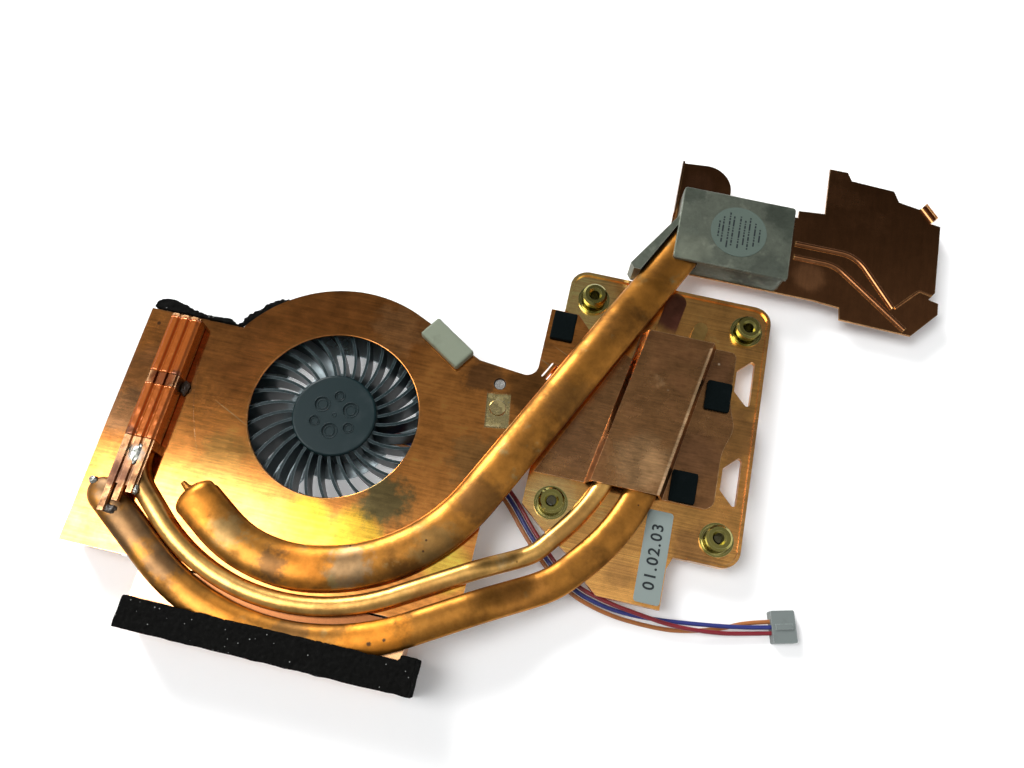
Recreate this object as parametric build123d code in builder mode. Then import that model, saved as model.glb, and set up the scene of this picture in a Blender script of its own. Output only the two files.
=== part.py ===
from build123d import *
from math import atan2, cos, degrees, pi, radians, sin, sqrt, tan
import os

os.makedirs("parts", exist_ok=True)

# Levels above the surface that the part lies on, in millimetres
sheet = 0.5
cover_top = 10.5
cover_under = cover_top - sheet
plate_thick = 1.5
plate_top = 6.5
plate_under = plate_top - plate_thick
clamp_top = plate_top + sheet
bush_top = 10.2
wing_thick = 0.6
wing_top = 6.0
wing_under = wing_top - wing_thick
gpu_pipe_floor = 8.6
base_thick = 0.8
skin = 0.1
seat = 0.1

# Fan: centre, intake and rotor
fan_x = -75.8
fan_y = -18.8
intake_r = 20.8
scroll_r = 32.9
scroll_wall = 1.2
hub_r = 10.3
hub_wall = 1.2
hub_top = 9.6
hub_low = 2.2
hub_roof = 1.4
blade_count = 31
blade_r = 27.0
blade_thick = 0.7
blade_low = 2.4
blade_top = 8.9
blade_sweep = 24
blade_bow = 0.4
shaft_r = 1.0
shaft_gap = 0.05
kidney_in = 14.0
kidney_out = 19.2
kidney_count = 3
strut_width = 7.0

# Fan cover outline
cover_left = -128.0
cover_low = -61.8
cover_back = -2.2
cover_right = -34.9
cover_step = -20.3
flank_start_x = -61.4
flank_end = (-44.5, 2.8)
neck_left = -30.0
neck_front = 1.6
neck_back = 20.6
neck_bend = 3.0

# Heat pipes: tube sizes before flattening and thickness after it
gpu_tube = 8.0
gpu_thick = 4.2
inner_tube = 4.0
outer_tube = 6.0
cpu_thick = 3.2
pipe_gap = 0.1
dome_steps = (0.0, 0.45, 0.8, 1.0)
dome_full = 0.91
nipple_taper = 8

# Processor plate with its four bushes
bush_pitch_x = 40.0
bush_pitch_y = 55.0
bush_hole_r = 1.2
plate_left = -26.7
plate_right = 26.0
plate_low = -33.8
plate_back = 34.9
tongue_left = -8.4
tongue_right = 9.5
tongue_low = -46.4
lip_wide = 0.8
lip_high = 0.6
hat_low = -20.9
hat_back = 20.8
hat_lean = 10.0

# Fin stacks
fin_pitch = 1.6
fin_thick = 0.3
fin_low = 0.8
side_stack = (cover_left + 0.5, -114.2, cover_low + 0.4, cover_back - 0.6)
rear_stack = (-107.8, -45.0, -77.0, cover_low - 0.5)

# Fan lead: three wires in a flat ribbon and a small plug
wire_d = 1.0
wire_pitch = 1.2
plug_size = (5.6, 7.4, 3.0)
plug_turn = 14.0


def flat_width(tube, thick):
    """Width of a round tube pressed flat to the given thickness."""
    return thick + pi * (tube - thick) / 2


def on_circle(radius, angle):
    """Point on a circle round the fan's axis."""
    return (fan_x + radius * cos(radians(angle)), fan_y + radius * sin(radians(angle)))


def lean_x(x, y, y_from):
    """X of a line that leans with the pipes under the hat, at another Y."""
    return x + (y - y_from) * tan(radians(hat_lean))


def fillet_centre(before, corner, after, radius):
    """Centre of the arc that rounds a plan corner."""
    to_before = (Vector(*before) - Vector(*corner)).normalized()
    to_after = (Vector(*after) - Vector(*corner)).normalized()
    half = radians(to_before.get_angle(to_after) / 2)
    return Vector(*corner) + (to_before + to_after).normalized() * (radius / sin(half))


def further(start, through, run):
    """Plan point on the line from start, a run past the point it goes through."""
    reached = Vector(*through) + (Vector(*through) - Vector(*start)).normalized() * run
    return (reached.X, reached.Y)


def save(built, label):
    """Label a finished piece and write it out."""
    built.part.label = label
    export_step(built.part, f"parts/{label}.step")


def pipe_section(plane, width, thick):
    """Section of a pressed pipe: flat underside, round flanks and a crowned top."""
    half = width / 2
    rise = thick / 2
    flat = half - rise
    with BuildSketch(plane) as section:
        with BuildLine():
            EllipticalCenterArc((0, 0), half, rise, 0, arc_size=180)
            CenterArc((-flat, 0), rise, 180, 90)
            Line((-flat, -rise), (flat, -rise))
            CenterArc((flat, 0), rise, 270, 90)
        make_face()
    return section.sketch


def bent_pipe(points, radii, width, thick, taper=None, end_tip=None):
    """Flattened pipe along a bent centre line, domed at its start and pressed flat past its end."""
    first = Vector(*points[0])
    along = (Vector(*points[1]) - first).normalized()
    across = Vector(0, 0, 1).cross(along)
    mouth = Plane(origin=first, x_dir=across, z_dir=along)
    with BuildPart() as pipe:
        with BuildLine() as route:
            FilletPolyline(*points, radius=radii)
        sweep(pipe_section(mouth, width, thick), path=route.line)
        if taper:
            tip_length, nipple_r, nipple_length = taper
            dome = []
            for step in dome_steps:
                share = sqrt(1 - (dome_full * step) ** 2)
                dome.append(pipe_section(mouth.offset(-step * tip_length), share * width, share * thick))
            loft(dome)
            with BuildSketch(mouth.offset(-tip_length)):
                Circle(nipple_r)
            extrude(amount=-nipple_length, taper=nipple_taper)
        if end_tip:
            past_hat, tip_long, tip_wide, tip_thick = end_tip
            end_x, end_y, end_mid = points[-1]
            with BuildSketch(Plane.XY.offset(end_mid - thick / 2)):
                tip_y = end_y + past_hat - tip_long / 2
                with Locations(Location((lean_x(end_x, tip_y, end_y), tip_y, 0), 90 - hat_lean)):
                    SlotOverall(tip_long, tip_wide)
            extrude(amount=tip_thick)
    return pipe


# Fan cover: one flat copper sheet with the intake, a window and the neck
scroll_start = fan_x - sqrt(scroll_r**2 - (cover_back - fan_y) ** 2)
flank_start = (flank_start_x, fan_y + sqrt(scroll_r**2 - (flank_start_x - fan_x) ** 2))
neck_edge_low = (-31.5, cover_step)
neck_edge_back = (-15.4, neck_back - 8.0)
leaf_window = (fan_x + scroll_r + 5.6, -9.0)
leaf_turn = 8
leaf_window_size = (5.8, 9.0)
cover_screw_at = (fan_x + scroll_r + 4.6, cover_back)
cover_hole_r = 1.5
lance_at = (-27.1, 3.9)
lance_turn = 64
lance_long = 4.6
lance_wide = 1.0
lance_slit = 0.4
lance_high = 0.5
with BuildPart() as fan_cover:
    with BuildSketch(Plane.XY.offset(cover_under)):
        with BuildLine():
            Polyline((scroll_start, cover_back), (cover_left, cover_back), (cover_left, cover_low))
            Polyline((cover_left, cover_low), (cover_right, cover_low), (cover_right, cover_step))
            Polyline((cover_right, cover_step), neck_edge_low, neck_edge_back, (-22.9, neck_back))
            Polyline((-22.9, neck_back), (neck_left, neck_back), (neck_left, neck_front + neck_bend))
            RadiusArc((neck_left, neck_front + neck_bend), (neck_left - neck_bend, neck_front), neck_bend)
            Polyline((neck_left - neck_bend, neck_front), flank_end, flank_start)
            ThreePointArc(flank_start, (fan_x, fan_y + scroll_r), (scroll_start, cover_back))
        make_face()
        with Locations((fan_x, fan_y)):
            Circle(intake_r, mode=Mode.SUBTRACT)
        with Locations(Location((*leaf_window, 0), leaf_turn)):
            Rectangle(*leaf_window_size, mode=Mode.SUBTRACT)
        with Locations(cover_screw_at):
            Circle(cover_hole_r, mode=Mode.SUBTRACT)
        with Locations(Location((*lance_at, 0), lance_turn)):
            with GridLocations(0, lance_wide + lance_slit, 1, 2):
                SlotOverall(lance_long, lance_slit, mode=Mode.SUBTRACT)
    extrude(amount=sheet)
    with BuildSketch(Plane.XY.offset(cover_top)):
        with Locations(Location((*lance_at, 0), lance_turn)):
            Rectangle(lance_long, lance_wide)
    extrude(amount=lance_high, taper=15)
save(fan_cover, "fan_cover")

# Heat pipe to the graphics block: round the fan, then straight up to the block
gpu_mid = cover_top + gpu_thick / 2
gpu_end_mid = gpu_pipe_floor + gpu_thick / 2
gpu_route = [(-100.2, -46.0, gpu_mid), (-81.8, -58.4, gpu_mid), (-46.0, -50.0, gpu_mid),
             (-11.5, 21.0, gpu_mid), (-4.7, 35.0, gpu_end_mid), (5.5, 56.0, gpu_end_mid)]
gpu_width = flat_width(gpu_tube, gpu_thick)
gpu_pinch = (2.6, 0.9, 2.2)
heat_pipe_gpu = bent_pipe(gpu_route, [33, 44, 50, 50], gpu_width, gpu_thick, gpu_pinch)
save(heat_pipe_gpu, "heat_pipe_gpu")

# Inner processor pipe: along the side fins, round the fan, down to the plate and under the hat
cpu_mid = cover_top + cpu_thick / 2
cpu_low_mid = plate_top + cpu_thick / 2
strip_x = -117.0
inner_hat_x = -8.6
inner_turn = (inner_hat_x, -24.0)
inner_end = (lean_x(inner_hat_x, hat_back, inner_turn[1]), hat_back)
inner_corner = (-80.6, -75.3)
inner_drop = (-32.4, -47.0)
inner_level = further(inner_corner, inner_drop, 8.4)
inner_swing = further(inner_corner, inner_drop, 13.0)
inner_route = [(strip_x, cover_back - 2.8, cpu_mid), (strip_x, -43.0, cpu_mid), (*inner_corner, cpu_mid),
               (*inner_drop, cpu_mid), (*inner_level, cpu_low_mid), (*inner_swing, cpu_low_mid),
               (*inner_turn, cpu_low_mid), (*inner_end, cpu_low_mid)]
inner_width = flat_width(inner_tube, cpu_thick)
inner_tip = (12.6, 14.0, 5.0, 1.8)
heat_pipe_inner = bent_pipe(inner_route, [12, 49, 12, 9, 11, 50], inner_width, cpu_thick, end_tip=inner_tip)
save(heat_pipe_inner, "heat_pipe_inner")

# Outer processor pipe: over the rear fins, round the fan, down to the plate and under the hat
outer_hat_x = 0.2
outer_turn = (outer_hat_x - 0.8, -28.3)
outer_end = (lean_x(outer_hat_x, hat_back, -20.8), hat_back)
outer_corner = (-76.2, -82.0)
outer_start = (strip_x - 3.8, -50.0)
outer_drop = (-30.4, -55.0)
outer_level = further(outer_corner, outer_drop, 11.4)
outer_swing = further(outer_corner, outer_drop, 17.8)
outer_bend = 56.0
outer_route = [(*outer_start, cpu_mid), (*outer_corner, cpu_mid), (*outer_drop, cpu_mid),
               (*outer_level, cpu_low_mid), (*outer_swing, cpu_low_mid), (*outer_turn, cpu_low_mid),
               (*outer_end, cpu_low_mid)]
outer_width = flat_width(outer_tube, cpu_thick)
outer_radii = [outer_bend, 16, 14, 24, 50]
outer_pinch = (4.2, 0.65, 0.9)
outer_tip = (5.7, 8.0, 3.5, 2.2)
heat_pipe_outer = bent_pipe(outer_route, outer_radii, outer_width, cpu_thick, outer_pinch, outer_tip)
save(heat_pipe_outer, "heat_pipe_outer")

# Processor plate: copper, with a turned-up lip, two windows, a tongue and bush holes
bush_places = [(sx * bush_pitch_x / 2, sy * bush_pitch_y / 2) for sy in (1, -1) for sx in (-1, 1)]
bush_seat_r = 3.7
plate_round = 4.5
ear_low = plate_low + 4.8
ear_right = plate_left + 5.7
window_long = 14.2
window_short = 5.6
window_wide = 4.3
window_round = 0.7
window_right = plate_right - 2.5
window_middles = (13.5, -12.5)
with BuildPart() as cpu_base:
    with BuildSketch(Plane.XY.offset(plate_under)) as plate_outline:
        with BuildLine():
            Polyline((plate_left, ear_low), (plate_left, plate_back), (plate_right, plate_back),
                     (plate_right, plate_low), (tongue_right + 1.2, plate_low),
                     (tongue_right, plate_low - 3.0), (tongue_right, tongue_low),
                     (tongue_left + 3.0, tongue_low), (tongue_left, tongue_low + 2.4),
                     (tongue_left, tongue_low + 4.4), (ear_right, plate_low), (plate_left, ear_low))
        make_face()
        corners = plate_outline.vertices().group_by(Axis.Y)[-1] + [
            plate_outline.vertices().filter_by_position(Axis.Y, plate_low, plate_low).sort_by(Axis.X)[-1]]
        fillet(corners, radius=plate_round)
    extrude(amount=plate_thick)
    with BuildSketch(Plane.XY.offset(plate_top)):
        with BuildLine():
            FilletPolyline((plate_left, plate_back - 12.4), (plate_left, plate_back), (plate_right, plate_back),
                           (plate_right, plate_low), (plate_right - 12.0, plate_low), radius=plate_round)
            offset(amount=-lip_wide, side=Side.RIGHT, closed=True)
        make_face()
    extrude(amount=lip_high)
    with BuildSketch(Plane.XY.offset(plate_under)) as windows:
        with Locations(*[(window_right, middle) for middle in window_middles]):
            Polygon((0, window_long / 2), (-window_wide, window_short / 2), (-window_wide, -window_short / 2),
                    (0, -window_long / 2), align=None)
        fillet(windows.vertices(), radius=window_round)
        with Locations(*bush_places):
            Circle(bush_seat_r + seat)
    extrude(amount=plate_thick, mode=Mode.SUBTRACT)
save(cpu_base, "cpu_base")

# Contact block: the raised copper pad that meets the processor
contact_size = (30.0, 30.0, 1.6)
contact_round = 1.5
contact_edge = 0.4
with BuildPart() as cpu_contact:
    with BuildSketch(Plane.XY.offset(plate_under)):
        RectangleRounded(contact_size[0], contact_size[1], contact_round)
    extrude(amount=-contact_size[2])
    chamfer(cpu_contact.faces().sort_by(Axis.Z)[0].edges(), contact_edge)
save(cpu_contact, "cpu_contact")

# Bushes: turned brass, with a flange on the plate, a groove and a tall barrel
bush_barrel_r = 3.1
bush_shank_r = 2.8
bush_flange_r = 4.1
bush_groove = 0.5
bush_edge = 0.5
for number, place in enumerate(bush_places, start=1):
    with BuildPart() as mount_bush:
        with BuildSketch(Plane(origin=(*place, 0), x_dir=(1, 0, 0), z_dir=(0, -1, 0))):
            with BuildLine():
                Polyline((bush_hole_r, 0), (bush_shank_r, 0), (bush_shank_r, plate_under - 2 * bush_edge),
                         (bush_seat_r, plate_under - bush_edge), (bush_seat_r, plate_top),
                         (bush_flange_r, plate_top), (bush_flange_r, clamp_top),
                         (bush_barrel_r + bush_groove, clamp_top),
                         (bush_barrel_r + bush_groove, plate_under + bush_edge),
                         (bush_barrel_r, plate_under + bush_edge), (bush_barrel_r, bush_top - bush_edge),
                         (bush_barrel_r - bush_edge, bush_top), (bush_hole_r + bush_edge, bush_top),
                         (bush_hole_r, bush_top - bush_edge), close=True)
            make_face()
        revolve(axis=Axis((*place, 0), (0, 0, 1)))
    save(mount_bush, f"mount_bush_{number}")

# Clamp sheet: flat flanges on the plate with a hat formed over the two pipes
hat_top = plate_top + cpu_thick + pipe_gap + sheet
hat_left = -13.3
hat_left_top = -12.0
hat_right_top = 4.6
hat_right = 5.8
hat_foot = 0.3
flange_left = -25.6
flange_right = 18.5
flange_waist = flange_right - 0.3
flange_round = 1.5
flange_bend = 2.7
with BuildPart() as cpu_clamp:
    with BuildSketch(Plane.XY.offset(plate_top)):
        with BuildLine():
            Polyline((flange_left, hat_low), (hat_left, hat_low), (lean_x(hat_left, 13.2, hat_low), 13.2),
                     (-9.4, 14.2), (flange_left, hat_low))
        make_face()
        with BuildLine():
            Polyline((lean_x(hat_right, hat_back, hat_low), hat_back), (hat_right, hat_low),
                     (flange_waist - flange_bend, hat_low))
            RadiusArc((flange_waist - flange_bend, hat_low), (flange_waist, hat_low + flange_bend),
                      -flange_bend)
            Line((flange_waist, hat_low + flange_bend), (flange_waist, -8.5))
            Spline((flange_waist, -8.5), (flange_right + 1.7, 0.5), (flange_right, 9.5),
                   tangents=((0, 1), (0, 1)))
            Line((flange_right, 9.5), (flange_right, hat_back - flange_round))
            RadiusArc((flange_right, hat_back - flange_round), (flange_right - flange_round, hat_back),
                      -flange_round)
            Line((flange_right - flange_round, hat_back), (lean_x(hat_right, hat_back, hat_low), hat_back))
        make_face()
    extrude(amount=sheet)
    with BuildSketch(Plane.XZ.offset(-hat_low)):
        with BuildLine():
            hat_skin = Polyline((hat_left - hat_foot, clamp_top), (hat_left, clamp_top),
                                (hat_left_top, hat_top), (hat_right_top, hat_top), (hat_right, clamp_top),
                                (hat_right + hat_foot, clamp_top))
            offset(hat_skin, amount=sheet, side=Side.RIGHT, closed=True)
        make_face()
    hat_dir = (sin(radians(hat_lean)), cos(radians(hat_lean)), 0)
    extrude(amount=(hat_back - hat_low) / hat_dir[1], dir=hat_dir)
save(cpu_clamp, "cpu_clamp")

# Fan base: sheet with a scroll wall, kidney inlets, a corner post, a screw boss and a wire notch
tray_gap = 0.6
tray_left = side_stack[1] + tray_gap
tray_low = rear_stack[3] + tray_gap / 2
scroll_right = fan_x + scroll_r
inner_r = scroll_r - scroll_wall
inner_back = cover_back - scroll_wall
inner_right = scroll_right - scroll_wall
inner_start = fan_x - sqrt(inner_r**2 - (inner_back - fan_y) ** 2)
post_wide = 4.0
boss_r = 2.4
boss_top = 9.2
boss_from_fan = Vector(cover_screw_at[0] - fan_x, cover_screw_at[1] - fan_y)
boss_turn = degrees(atan2(boss_from_fan.Y, boss_from_fan.X))
lug_run = boss_from_fan.length - inner_r
screw_shank_r = 0.85
sleeve_r = 2.4
hub_seat_wall = 1.2
hub_seat_high = 1.6
notch_y = -22.4
notch_wide = 2 * wire_pitch + wire_d + 1.4
notch_high = wire_d + 1.2
with BuildPart() as fan_base:
    with BuildSketch():
        with BuildLine():
            Polyline((scroll_start, cover_back), (tray_left, cover_back), (tray_left, tray_low))
            Polyline((tray_left, tray_low), (scroll_right, tray_low), (scroll_right, fan_y))
            ThreePointArc((scroll_right, fan_y), (fan_x, fan_y + scroll_r), (scroll_start, cover_back))
        make_face()
        with Locations(cover_screw_at):
            Circle(boss_r)
        with Locations(Location((*on_circle(inner_r + lug_run / 2, boss_turn), 0), boss_turn)):
            Rectangle(lug_run, 2 * boss_r)
    extrude(amount=base_thick)
    with BuildSketch(Plane.XY.offset(base_thick)):
        with BuildLine():
            Polyline((scroll_start, cover_back), (tray_left, cover_back), (tray_left, tray_low))
            Polyline((tray_left, tray_low), (scroll_right, tray_low), (scroll_right, fan_y))
            ThreePointArc((scroll_right, fan_y), (fan_x, fan_y + scroll_r), (scroll_start, cover_back))
        make_face()
        with BuildLine():
            Polyline((inner_start, inner_back), (tray_left, inner_back), (tray_left, tray_low))
            Polyline((tray_left, tray_low), (inner_right, tray_low), (inner_right, fan_y))
            ThreePointArc((inner_right, fan_y), (fan_x, fan_y + inner_r), (inner_start, inner_back))
        make_face(mode=Mode.SUBTRACT)
        with Locations((tray_left + post_wide / 2, tray_low + post_wide / 2)):
            RectangleRounded(post_wide, post_wide, scroll_wall)
    extrude(amount=cover_under - base_thick)
    with BuildSketch(Plane.XY.offset(base_thick)):
        with Locations(cover_screw_at):
            Circle(boss_r)
            Circle(screw_shank_r + seat / 2, mode=Mode.SUBTRACT)
    extrude(amount=boss_top - base_thick)
    with BuildSketch(Plane.XY.offset(base_thick)):
        with Locations((fan_x, fan_y)):
            Circle(sleeve_r + hub_seat_wall)
            Circle(sleeve_r, mode=Mode.SUBTRACT)
    extrude(amount=hub_seat_high)
    with BuildSketch():
        with Locations((fan_x, fan_y)):
            Circle(kidney_out)
            Circle(kidney_in, mode=Mode.SUBTRACT)
            with PolarLocations((kidney_in + kidney_out) / 2, kidney_count):
                Rectangle(2 * (kidney_out - kidney_in), strut_width, mode=Mode.SUBTRACT)
    extrude(amount=base_thick, mode=Mode.SUBTRACT)
    with Locations((scroll_right, notch_y, base_thick + notch_high / 2)):
        Box(5 * scroll_wall, notch_wide, notch_high, mode=Mode.SUBTRACT)
save(fan_base, "fan_base")

# Impeller: hub cup with dimples and a ring of swept blades
hub_edge = 0.6
shaft_boss_r = 2.2
shaft_boss_high = 1.6
shaft_roof = 0.6
dimple_deep = 0.3
big_dimple_r = 1.9
big_dimple_ring = 4.1
small_dimple_r = 1.3
small_dimple_ring = 4.9
blade_root = 0.5
with BuildPart() as impeller:
    with BuildSketch(Plane.XY.offset(hub_low)):
        with Locations((fan_x, fan_y)):
            Circle(hub_r)
    extrude(amount=hub_top - hub_low)
    fillet(impeller.edges().group_by(Axis.Z)[-1], radius=hub_edge)
    with BuildSketch(Plane.XY.offset(hub_low)):
        with Locations((fan_x, fan_y)):
            Circle(hub_r - hub_wall)
    extrude(amount=hub_top - hub_roof - hub_low, mode=Mode.SUBTRACT)
    with BuildSketch(Plane.XY.offset(hub_top - hub_roof)):
        with Locations((fan_x, fan_y)):
            Circle(shaft_boss_r)
    extrude(amount=-shaft_boss_high)
    with BuildSketch(Plane.XY.offset(hub_low)):
        with Locations((fan_x, fan_y)):
            Circle(shaft_r)
    extrude(amount=hub_top - shaft_roof - hub_low, mode=Mode.SUBTRACT)
    with BuildSketch(Plane.XY.offset(hub_top)):
        with Locations((fan_x, fan_y)):
            with PolarLocations(big_dimple_ring, 3, start_angle=30):
                Circle(big_dimple_r)
            with PolarLocations(small_dimple_ring, 3, start_angle=90):
                Circle(small_dimple_r)
    extrude(amount=-dimple_deep, mode=Mode.SUBTRACT)
    with BuildSketch(Plane.XY.offset(blade_low)):
        with BuildSketch(mode=Mode.PRIVATE) as blade:
            with BuildLine():
                root_r = hub_r - blade_root
                bow_r = (root_r + blade_r) / 2
                bow = radians(blade_bow * blade_sweep)
                tip = radians(blade_sweep)
                ThreePointArc((root_r, 0), (bow_r * cos(bow), bow_r * sin(bow)),
                              (blade_r * cos(tip), blade_r * sin(tip)))
            trace(line_width=blade_thick)
        with Locations((fan_x, fan_y)):
            with PolarLocations(0, blade_count):
                add(blade.sketch)
    extrude(amount=blade_top - blade_low)
save(impeller, "impeller")

# Fan motor: shaft, bearing sleeve, magnet ring, circuit board and stator
shaft_lift = 0.3
with BuildPart() as fan_shaft:
    with BuildSketch(Plane.XY.offset(base_thick + shaft_lift)):
        with Locations((fan_x, fan_y)):
            Circle(shaft_r)
    extrude(amount=hub_top - shaft_roof - base_thick - shaft_lift)
save(fan_shaft, "fan_shaft")

sleeve_clear = 0.2
sleeve_top = hub_top - hub_roof - shaft_boss_high - sleeve_clear
with BuildPart() as bearing_sleeve:
    with BuildSketch(Plane.XY.offset(base_thick)):
        with Locations((fan_x, fan_y)):
            Circle(sleeve_r)
            Circle(shaft_r + shaft_gap, mode=Mode.SUBTRACT)
    extrude(amount=sleeve_top - base_thick)
save(bearing_sleeve, "bearing_sleeve")

magnet_wall = 1.2
magnet_high = 4.0
with BuildPart() as magnet_ring:
    with BuildSketch(Plane.XY.offset(hub_top - hub_roof - magnet_high)):
        with Locations((fan_x, fan_y)):
            Circle(hub_r - hub_wall)
            Circle(hub_r - hub_wall - magnet_wall, mode=Mode.SUBTRACT)
    extrude(amount=magnet_high)
save(magnet_ring, "magnet_ring")

board_thick = 0.6
board_r = 8.6
board_tab = 5.0
with BuildPart() as motor_board:
    with BuildSketch(Plane.XY.offset(base_thick)):
        with Locations((fan_x, fan_y)):
            Circle(board_r)
            Circle(sleeve_r + hub_seat_wall + 2 * seat, mode=Mode.SUBTRACT)
        with Locations((fan_x + board_r, fan_y)):
            Rectangle(board_tab, board_tab)
    extrude(amount=board_thick)
save(motor_board, "motor_board")

pole_count = 6
pole_wide = 1.8
pole_slot = 1.4
stator_gap = 0.7
stator_rim = 0.9
stator_r = hub_r - hub_wall - magnet_wall - stator_gap
stator_hub_r = sleeve_r + 1.6
stator_high = 3.2
with BuildPart() as stator_core:
    with BuildSketch(Plane.XY.offset(base_thick + hub_seat_high)):
        with Locations((fan_x, fan_y)):
            Circle(stator_r)
            Circle(stator_r - stator_rim, mode=Mode.SUBTRACT)
            with PolarLocations(stator_r, pole_count, start_angle=180 / pole_count):
                Rectangle(4 * stator_rim, pole_slot, mode=Mode.SUBTRACT)
            with PolarLocations((stator_r - stator_rim / 2 + sleeve_r) / 2, pole_count):
                Rectangle(stator_r - stator_rim / 2 - sleeve_r, pole_wide)
            Circle(stator_hub_r)
            Circle(sleeve_r, mode=Mode.SUBTRACT)
    extrude(amount=stator_high)
save(stator_core, "stator_core")


def fin_stack(bounds, top, fins_along):
    """Stack of thin fins between two folded cover sheets."""
    low_x, high_x, low_y, high_y = bounds
    middle = ((low_x + high_x) / 2, (low_y + high_y) / 2)
    long_x, long_y = high_x - low_x, high_y - low_y
    across = long_y if fins_along == "x" else long_x
    count = int((across - fin_thick) / fin_pitch) + 1
    pitch = (across - fin_thick) / (count - 1)
    with BuildPart() as stack:
        with BuildSketch(Plane.XY.offset(fin_low)):
            with Locations(middle):
                Rectangle(long_x, long_y)
        extrude(amount=fin_thick)
        with BuildSketch(Plane.XY.offset(top - fin_thick)):
            with Locations(middle):
                Rectangle(long_x, long_y)
        extrude(amount=fin_thick)
        with BuildSketch(Plane.XY.offset(fin_low + fin_thick)):
            with Locations(middle):
                if fins_along == "x":
                    with GridLocations(0, pitch, 1, count):
                        Rectangle(long_x, fin_thick)
                else:
                    with GridLocations(pitch, 0, count, 1):
                        Rectangle(fin_thick, long_y)
        extrude(amount=top - fin_low - 2 * fin_thick)
    return stack


side_fins = fin_stack(side_stack, cover_under, "x")
save(side_fins, "side_fins")
rear_fins = fin_stack(rear_stack, cover_top, "y")
save(rear_fins, "rear_fins")

# Ribbed strip: folded copper channel over the inner pipe, with three ridges running past its end
strip_half = 3.6
strip_in = inner_width / 2 + 3 * pipe_gap
strip_ceiling = cover_top + cpu_thick + pipe_gap
strip_roof = strip_ceiling + sheet
ridge_high = 0.6
ridge_foot = 0.95
ridge_crest = 0.65
ridge_pitch = 2.4
strip_start = cover_back - 1.6
channel_end = -37.6
roof_end = -47.0
ridge_ends = {-ridge_pitch: -53.8, 0.0: -51.0, ridge_pitch: -48.6}


def ridge_line(centre):
    """Top outline of one ridge, left to right."""
    middle = strip_x + centre
    return [(middle - ridge_foot, strip_roof), (middle - ridge_crest, strip_roof + ridge_high),
            (middle + ridge_crest, strip_roof + ridge_high), (middle + ridge_foot, strip_roof)]


roof_line = [point for centre in ridge_ends for point in ridge_line(centre)]
with BuildPart() as ribbed_strip:
    with BuildSketch(Plane.XZ.offset(-strip_start)):
        with BuildLine():
            Polyline((strip_x - strip_half, cover_top), (strip_x - strip_half, strip_roof), *roof_line,
                     (strip_x + strip_half, strip_roof), (strip_x + strip_half, cover_top),
                     (strip_x + strip_in, cover_top), (strip_x + strip_in, strip_ceiling),
                     (strip_x - strip_in, strip_ceiling), (strip_x - strip_in, cover_top), close=True)
        make_face()
    extrude(amount=strip_start - channel_end)
    with BuildSketch(Plane.XZ.offset(-channel_end)):
        with BuildLine():
            Polyline((strip_x - strip_half, strip_ceiling), (strip_x - strip_half, strip_roof), *roof_line,
                     (strip_x + strip_half, strip_roof), (strip_x + strip_half, strip_ceiling), close=True)
        make_face()
    extrude(amount=channel_end - roof_end)
    for centre, ridge_end in ridge_ends.items():
        with BuildSketch(Plane.XZ.offset(-roof_end)):
            with BuildLine():
                Polyline((strip_x + centre - ridge_foot, strip_ceiling), *ridge_line(centre),
                         (strip_x + centre + ridge_foot, strip_ceiling), close=True)
            make_face()
        extrude(amount=roof_end - ridge_end)
save(ribbed_strip, "ribbed_strip")

# Two wraps of orange film tape over the ribbed strip
tape_spans = {"tape_upper": (strip_start - 0.6, -19.2), "tape_lower": (-22.2, -35.6)}
tape_hem = cover_top + 0.4
for tape_name, (tape_from, tape_to) in tape_spans.items():
    with BuildPart() as tape:
        with BuildSketch(Plane.XZ.offset(-tape_from)):
            with BuildLine():
                tape_line = Polyline((strip_x - strip_half, tape_hem), (strip_x - strip_half, strip_roof),
                                     *roof_line, (strip_x + strip_half, strip_roof),
                                     (strip_x + strip_half, tape_hem))
                offset(tape_line, amount=skin, side=Side.LEFT, kind=Kind.INTERSECTION, closed=True)
            make_face()
        extrude(amount=tape_from - tape_to)
    save(tape, tape_name)

# Foam: a strip over the rear fins, its return at the end, and a lump behind the cover's back edge
foam_top = 14.4
foam_wide = 7.0
foam_front = rear_stack[2] - 0.2
foam_return_wide = 3.8
foam_return_long = 8.2
foam_ring = 6.0
corner_low = 2.0
corner_high = 9.2
corner_left = cover_left + 0.6
corner_right = scroll_start - 0.2
outer_centre = fillet_centre(outer_start, outer_corner, outer_drop, outer_bend)
with BuildPart() as foam_strip:
    with BuildSketch(Plane.XY.offset(cover_top)):
        with Locations((rear_stack[0], foam_front)):
            Rectangle(rear_stack[1] - rear_stack[0], foam_wide, align=Align.MIN)
    extrude(amount=foam_top - cover_top)
    with BuildSketch(Plane.XY.offset(cover_top)):
        with Locations((outer_centre.X, outer_centre.Y)):
            Circle(outer_bend + outer_width / 2 + seat)
            Circle(outer_bend - outer_width / 2 - foam_ring, mode=Mode.SUBTRACT)
    extrude(amount=cpu_thick + pipe_gap, mode=Mode.SUBTRACT)
save(foam_strip, "foam_strip")

with BuildPart() as foam_return:
    with BuildSketch(Plane.XY.offset(fin_low)):
        with Locations((rear_stack[1], foam_front)):
            Rectangle(foam_return_wide, foam_return_long, align=Align.MIN)
    extrude(amount=foam_top - fin_low)
save(foam_return, "foam_return")

with BuildPart() as corner_foam:
    with BuildSketch(Plane.XY.offset(corner_low)):
        with BuildLine():
            Line((corner_left, cover_back), (corner_left, cover_back + 2.2))
            Spline((corner_left, cover_back + 2.2), (corner_left + 2.9, cover_back + 3.3),
                   (corner_left + 6.9, cover_back + 2.8), (corner_left + 11.4, cover_back + 1.5),
                   (corner_right - 2.6, cover_back + 1.2), (corner_right, cover_back))
            Line((corner_right, cover_back), (corner_left, cover_back))
        make_face()
    extrude(amount=corner_high)
save(corner_foam, "corner_foam")

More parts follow.
